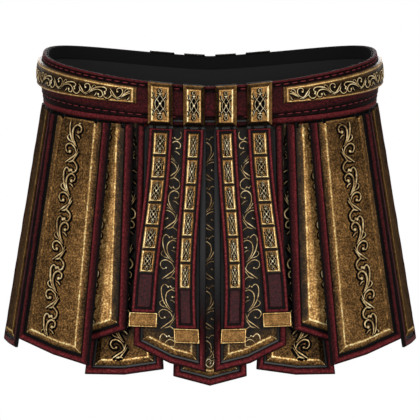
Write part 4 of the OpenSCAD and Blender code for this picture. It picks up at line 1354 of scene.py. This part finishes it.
apronFacing, apronSlope, apronFlare = flapFrame(flapKinds["apron"])[1:]
for kind, strap in straps.items():
    s = strap["place"]
    point = plumbPoint(s, -strapBuild["inset"], bottomAt(s) - hinges["drop"])
    straight = hungPlace(point, apronFacing, apronSlope, apronFlare)
    lean = math.tan(math.radians(strap["lean"]) - apronSlope)

    def place(x, y, h, straight=straight, strap=strap, lean=lean):
        # the strap hangs in a slow wave
        turn = -math.pi * y / strap["length"]
        wave = strap["bow"] * math.sin(turn) - strapBuild["wave"] * math.sin(2 * turn)
        return straight(x - y * lean + wave, y, h)

    half = strapBuild["thick"] / 2
    width, border = strap["width"], strapBuild["border"]
    rimEnd = strap["length"] - strapBuild["tip"] - strapBuild["clear"]
    leather = newShape()
    addPanel(leather, strip(width, 1.2, rimEnd), [
        (6.0, -half, 0.3, 0, 0, 0), (0.7, -half, 0.3, 0, 0.2, 0), (0.1, -half + 0.3, 0.4, 0, 0.2, 0),
        (0.0, -half + 0.7, 0.4, 0, 0.2, 0), (0.0, half - 0.3, 0.3, 0, 0.2, 0), (0.25, half, 0.15, 0, 0.2, 0),
        (6.0, half, 0.3, 0, 0, 0)], place, spacing=6.0, frontTone=0.45)
    piping = pipingSection(border, strapBuild["borderHeight"], half)
    # painted light across the piping: lit on one side of its round, in painted shade on the other
    across = dict(outer=(0.34, 0.6, 0.74, 0.74, 0.56, 0.4, 0.22),
                  inner=(0.26, 0.42, 0.62, 0.78, 0.76, 0.56, 0.28),
                  bottom=(0.28, 0.44, 0.6, 0.66, 0.58, 0.44, 0.26),
                  top=(0.3, 0.5, 0.64, 0.66, 0.56, 0.44, 0.26))
    rings = [(0.3, half - 0.2, 0.12, 1, 0.2, 0)] + \
        [(d, h, {edge: levels[k] for edge, levels in across.items()}, 1, 0.2, 0) for d, h, k in piping] + \
        [(border, half - 0.2, 0.1, 0, 0.1, 0)]

    def narrowTop(outline, d):
        # the piping along the top edge is half as wide as along the sides
        return insetOutline(outline, [d, d, d, d, d * strapBuild["topShare"]])

    rim = strip(width, strapBuild["borderStart"], rimEnd)
    plan = panelPlan(rim, 5.0)
    rows = [ringRow(leather, narrowTop(rim, ring[0]), plan, ring, place, 0.2 if ring[1] > half + 0.4 else 0)
            for ring in rings]
    joinRows(leather, rows, [ring[3] for ring in rings], around=True)
    # the rolled top edge is painted pale, a painted highlight
    addHingeLoop(leather, width - 0.6, place, 0, tone=0.85)
    # plain raised panel above the tip
    inner = width - 2 * border - 2 * strapBuild["gap"]
    panelEnd = rimEnd - border - strapBuild["gap"]
    panelTop = rimEnd - border - strapBuild["panel"]
    addPanel(leather, strip(inner, panelTop, panelEnd),
             [(0.4, half - 0.3, 0.2, 1, 0, 0), (0.0, half + 0.05, 0.15, 1, 0, 0),
              (0.1, half + 0.5, 0.2, 1, 0, 0), (0.5, half + 0.72, 0.34, 1, 0.2, 0),
              (1.6, half + 0.72, 0.5, 1, 0, 0.35)], place, spacing=5.0, frontTone=0.5, frontVeil=0.35)
    # end that sits in the tip
    hidden = alike([(0.4, -half, 0.3), (0, -half + 0.4, 0.3), (0, half - 0.4, 0.3), (0.4, half, 0.3)])
    addPanel(leather, strip(width, rimEnd - 1, strap["length"] - strapBuild["wall"] - 0.2), hidden, place,
             spacing=6.0, frontTone=0.3)

    mounts = newShape()
    start = strapBuild["mountStart"]
    end = panelTop - strapBuild["gap"]
    run = (end - start + strapBuild["gap"]) / strapBuild["count"]
    top = half + strapBuild["mount"]
    bevel = strapBuild["mountBevel"]
    # painted light on the bevels: the outer side and the bottom ridge lit, the inner side and the top darker
    edge = dict(inner=0.5, outer=0.8, top=0.42, bottom=0.4)
    ridge = dict(inner=0.7, outer=0.95, top=0.64, bottom=0.97)
    mountRings = alike([
        (0.3, half, 0.1), (0.0, half + 0.2, 0.15), (0.05, half + 0.7, edge), (bevel - 0.3, top - 0.1, edge),
        (bevel, top, ridge), (bevel + 0.4, top, ridge), (bevel + 0.9, top - strapBuild["sink"], 0.5)])
    strands = dict(field=top - strapBuild["sink"], strand=0.6, strandHeight=0.5, outline=0.8)
    for i in range(strapBuild["count"]):
        low, high = start + i * run, start + (i + 1) * run - strapBuild["gap"]
        addPanel(mounts, strip(inner, low, high), mountRings, place, spacing=5.0, frontTone=0.42)
        addInterlace(mounts, (0, -(low + high) / 2), inner / 2 - bevel - 0.6, (high - low) / 2 - bevel - 1.1,
                     place, strands, step=1.0)
    # brass tip: a box round the strap's end with raised bright edges
    tipTop = strap["length"] - strapBuild["tip"]
    cover = half + strapBuild["borderHeight"] + strapBuild["tipCover"]
    tipRings = alike([
        (0.5, -half, 0.3), (0.0, -half + 0.5, 0.4), (0.0, cover - 0.5, 0.6), (0.3, cover, 0.86),
        (0.9, cover, 0.84), (1.4, cover - 0.4, 0.4), (2.6, cover - 0.45, 0.56)])
    addPanel(mounts, strip(width + 2 * strapBuild["wrap"], tipTop, strap["length"]), tipRings, place,
             spacing=5.0, frontTone=0.56, bumpy=0.12)
    for side in ("left", "right"):
        body = f"{side}_{kind}_strap"
        label = side + kind.capitalize()
        makePiece(label + "Strap", mirrored(leather, "front", side), [blackHide, redHide], body, [body],
                  sharp=50)
        makePiece(label + "Mounts", mirrored(mounts, "front", side), [polishedBrass, rubbedAndHighlitBrass, blackWaxAndShadow],
                  body, [f"{side}_{kind}_mounts"], sharp=40)
print("straps built")

# the wire staples keep their CAD shape
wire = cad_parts["hanger_staples"]
wire.data.materials.clear()
wire.data.materials.append(drawnWire)


# floor, backdrop and light
stageLooks = dict(floor=-0.52, size=9.0, grey="#e9e8e6", room=0.38)


def seenWhite(tree):
    # white to the camera; metal mirrors the softer greys instead, which keeps its dark places dark
    path = addNode(tree, "ShaderNodeLightPath").outputs
    return addNode(tree, "ShaderNodeMath", {0: path["Is Camera Ray"], 1: path["Is Transmission Ray"]},
                   operation="MAXIMUM").outputs[0]


def paleStage(name):
    # plain pale card that takes the object's light as a matt grey
    material = bpy.data.materials.new(name)
    material.use_nodes = True
    tree = material.node_tree
    tree.nodes.clear()
    glow = addNode(tree, "ShaderNodeEmission", {"Color": (1, 1, 1, 1), "Strength": 1.0})
    card = addNode(tree, "ShaderNodeBsdfDiffuse", {"Color": linear(stageLooks["grey"])})
    mix = addNode(tree, "ShaderNodeMixShader", {0: seenWhite(tree), 1: card.outputs[0], 2: glow.outputs[0]})
    addNode(tree, "ShaderNodeOutputMaterial", {"Surface": mix.outputs[0]})
    return material


card = bpy.data.meshes.new("floorCard")
size, floorZ = stageLooks["size"], stageLooks["floor"]
corners = [(-size, -size, floorZ), (size, -size, floorZ), (size, size, floorZ), (-size, size, floorZ)]
card.from_pydata(corners, [], [(0, 1, 2, 3)])
card.materials.append(paleStage("paleFloor"))
floor = bpy.data.objects.new("floorCard", card)
bpy.context.scene.collection.objects.link(floor)

world = bpy.data.worlds.new("softRoom")
bpy.context.scene.world = world
world.use_nodes = True
tree = world.node_tree
tree.nodes.clear()
bright = addNode(tree, "ShaderNodeBackground", {"Color": (1, 1, 1, 1), "Strength": 1.0})
soft = addNode(tree, "ShaderNodeBackground", {"Color": (1, 1, 1, 1), "Strength": stageLooks["room"]})
mix = addNode(tree, "ShaderNodeMixShader", {0: seenWhite(tree), 1: soft.outputs[0], 2: bright.outputs[0]})
addNode(tree, "ShaderNodeOutputWorld", {"Surface": mix.outputs[0]})

# (name, place in m, width in m, watts); each looks at the upper part of the flaps
lampTarget = Vector((0, 0, -0.15))
lamps = [("keyLeft", (-2.6, -3.4, 1.3), 1.6, 58), ("keyRight", (2.6, -3.4, 1.3), 1.6, 58),
         ("fillFront", (0, -4.2, 0.4), 2.4, 30), ("topSoft", (0, 0.4, 3.2), 2.2, 18),
         ("fillBack", (0, 4.4, 0.6), 2.4, 70)]
for name, position, width, power in lamps:
    lamp = bpy.data.lights.new(name, "AREA")
    lamp.shape = "DISK"
    lamp.size = width
    lamp.energy = power
    holder = bpy.data.objects.new(name, lamp)
    holder.location = position
    holder.rotation_euler = (lampTarget - Vector(position)).to_track_quat("-Z", "Y").to_euler()
    bpy.context.scene.collection.objects.link(holder)

bpy.context.scene.view_settings.view_transform = "Standard"
print("stage and lamps placed")
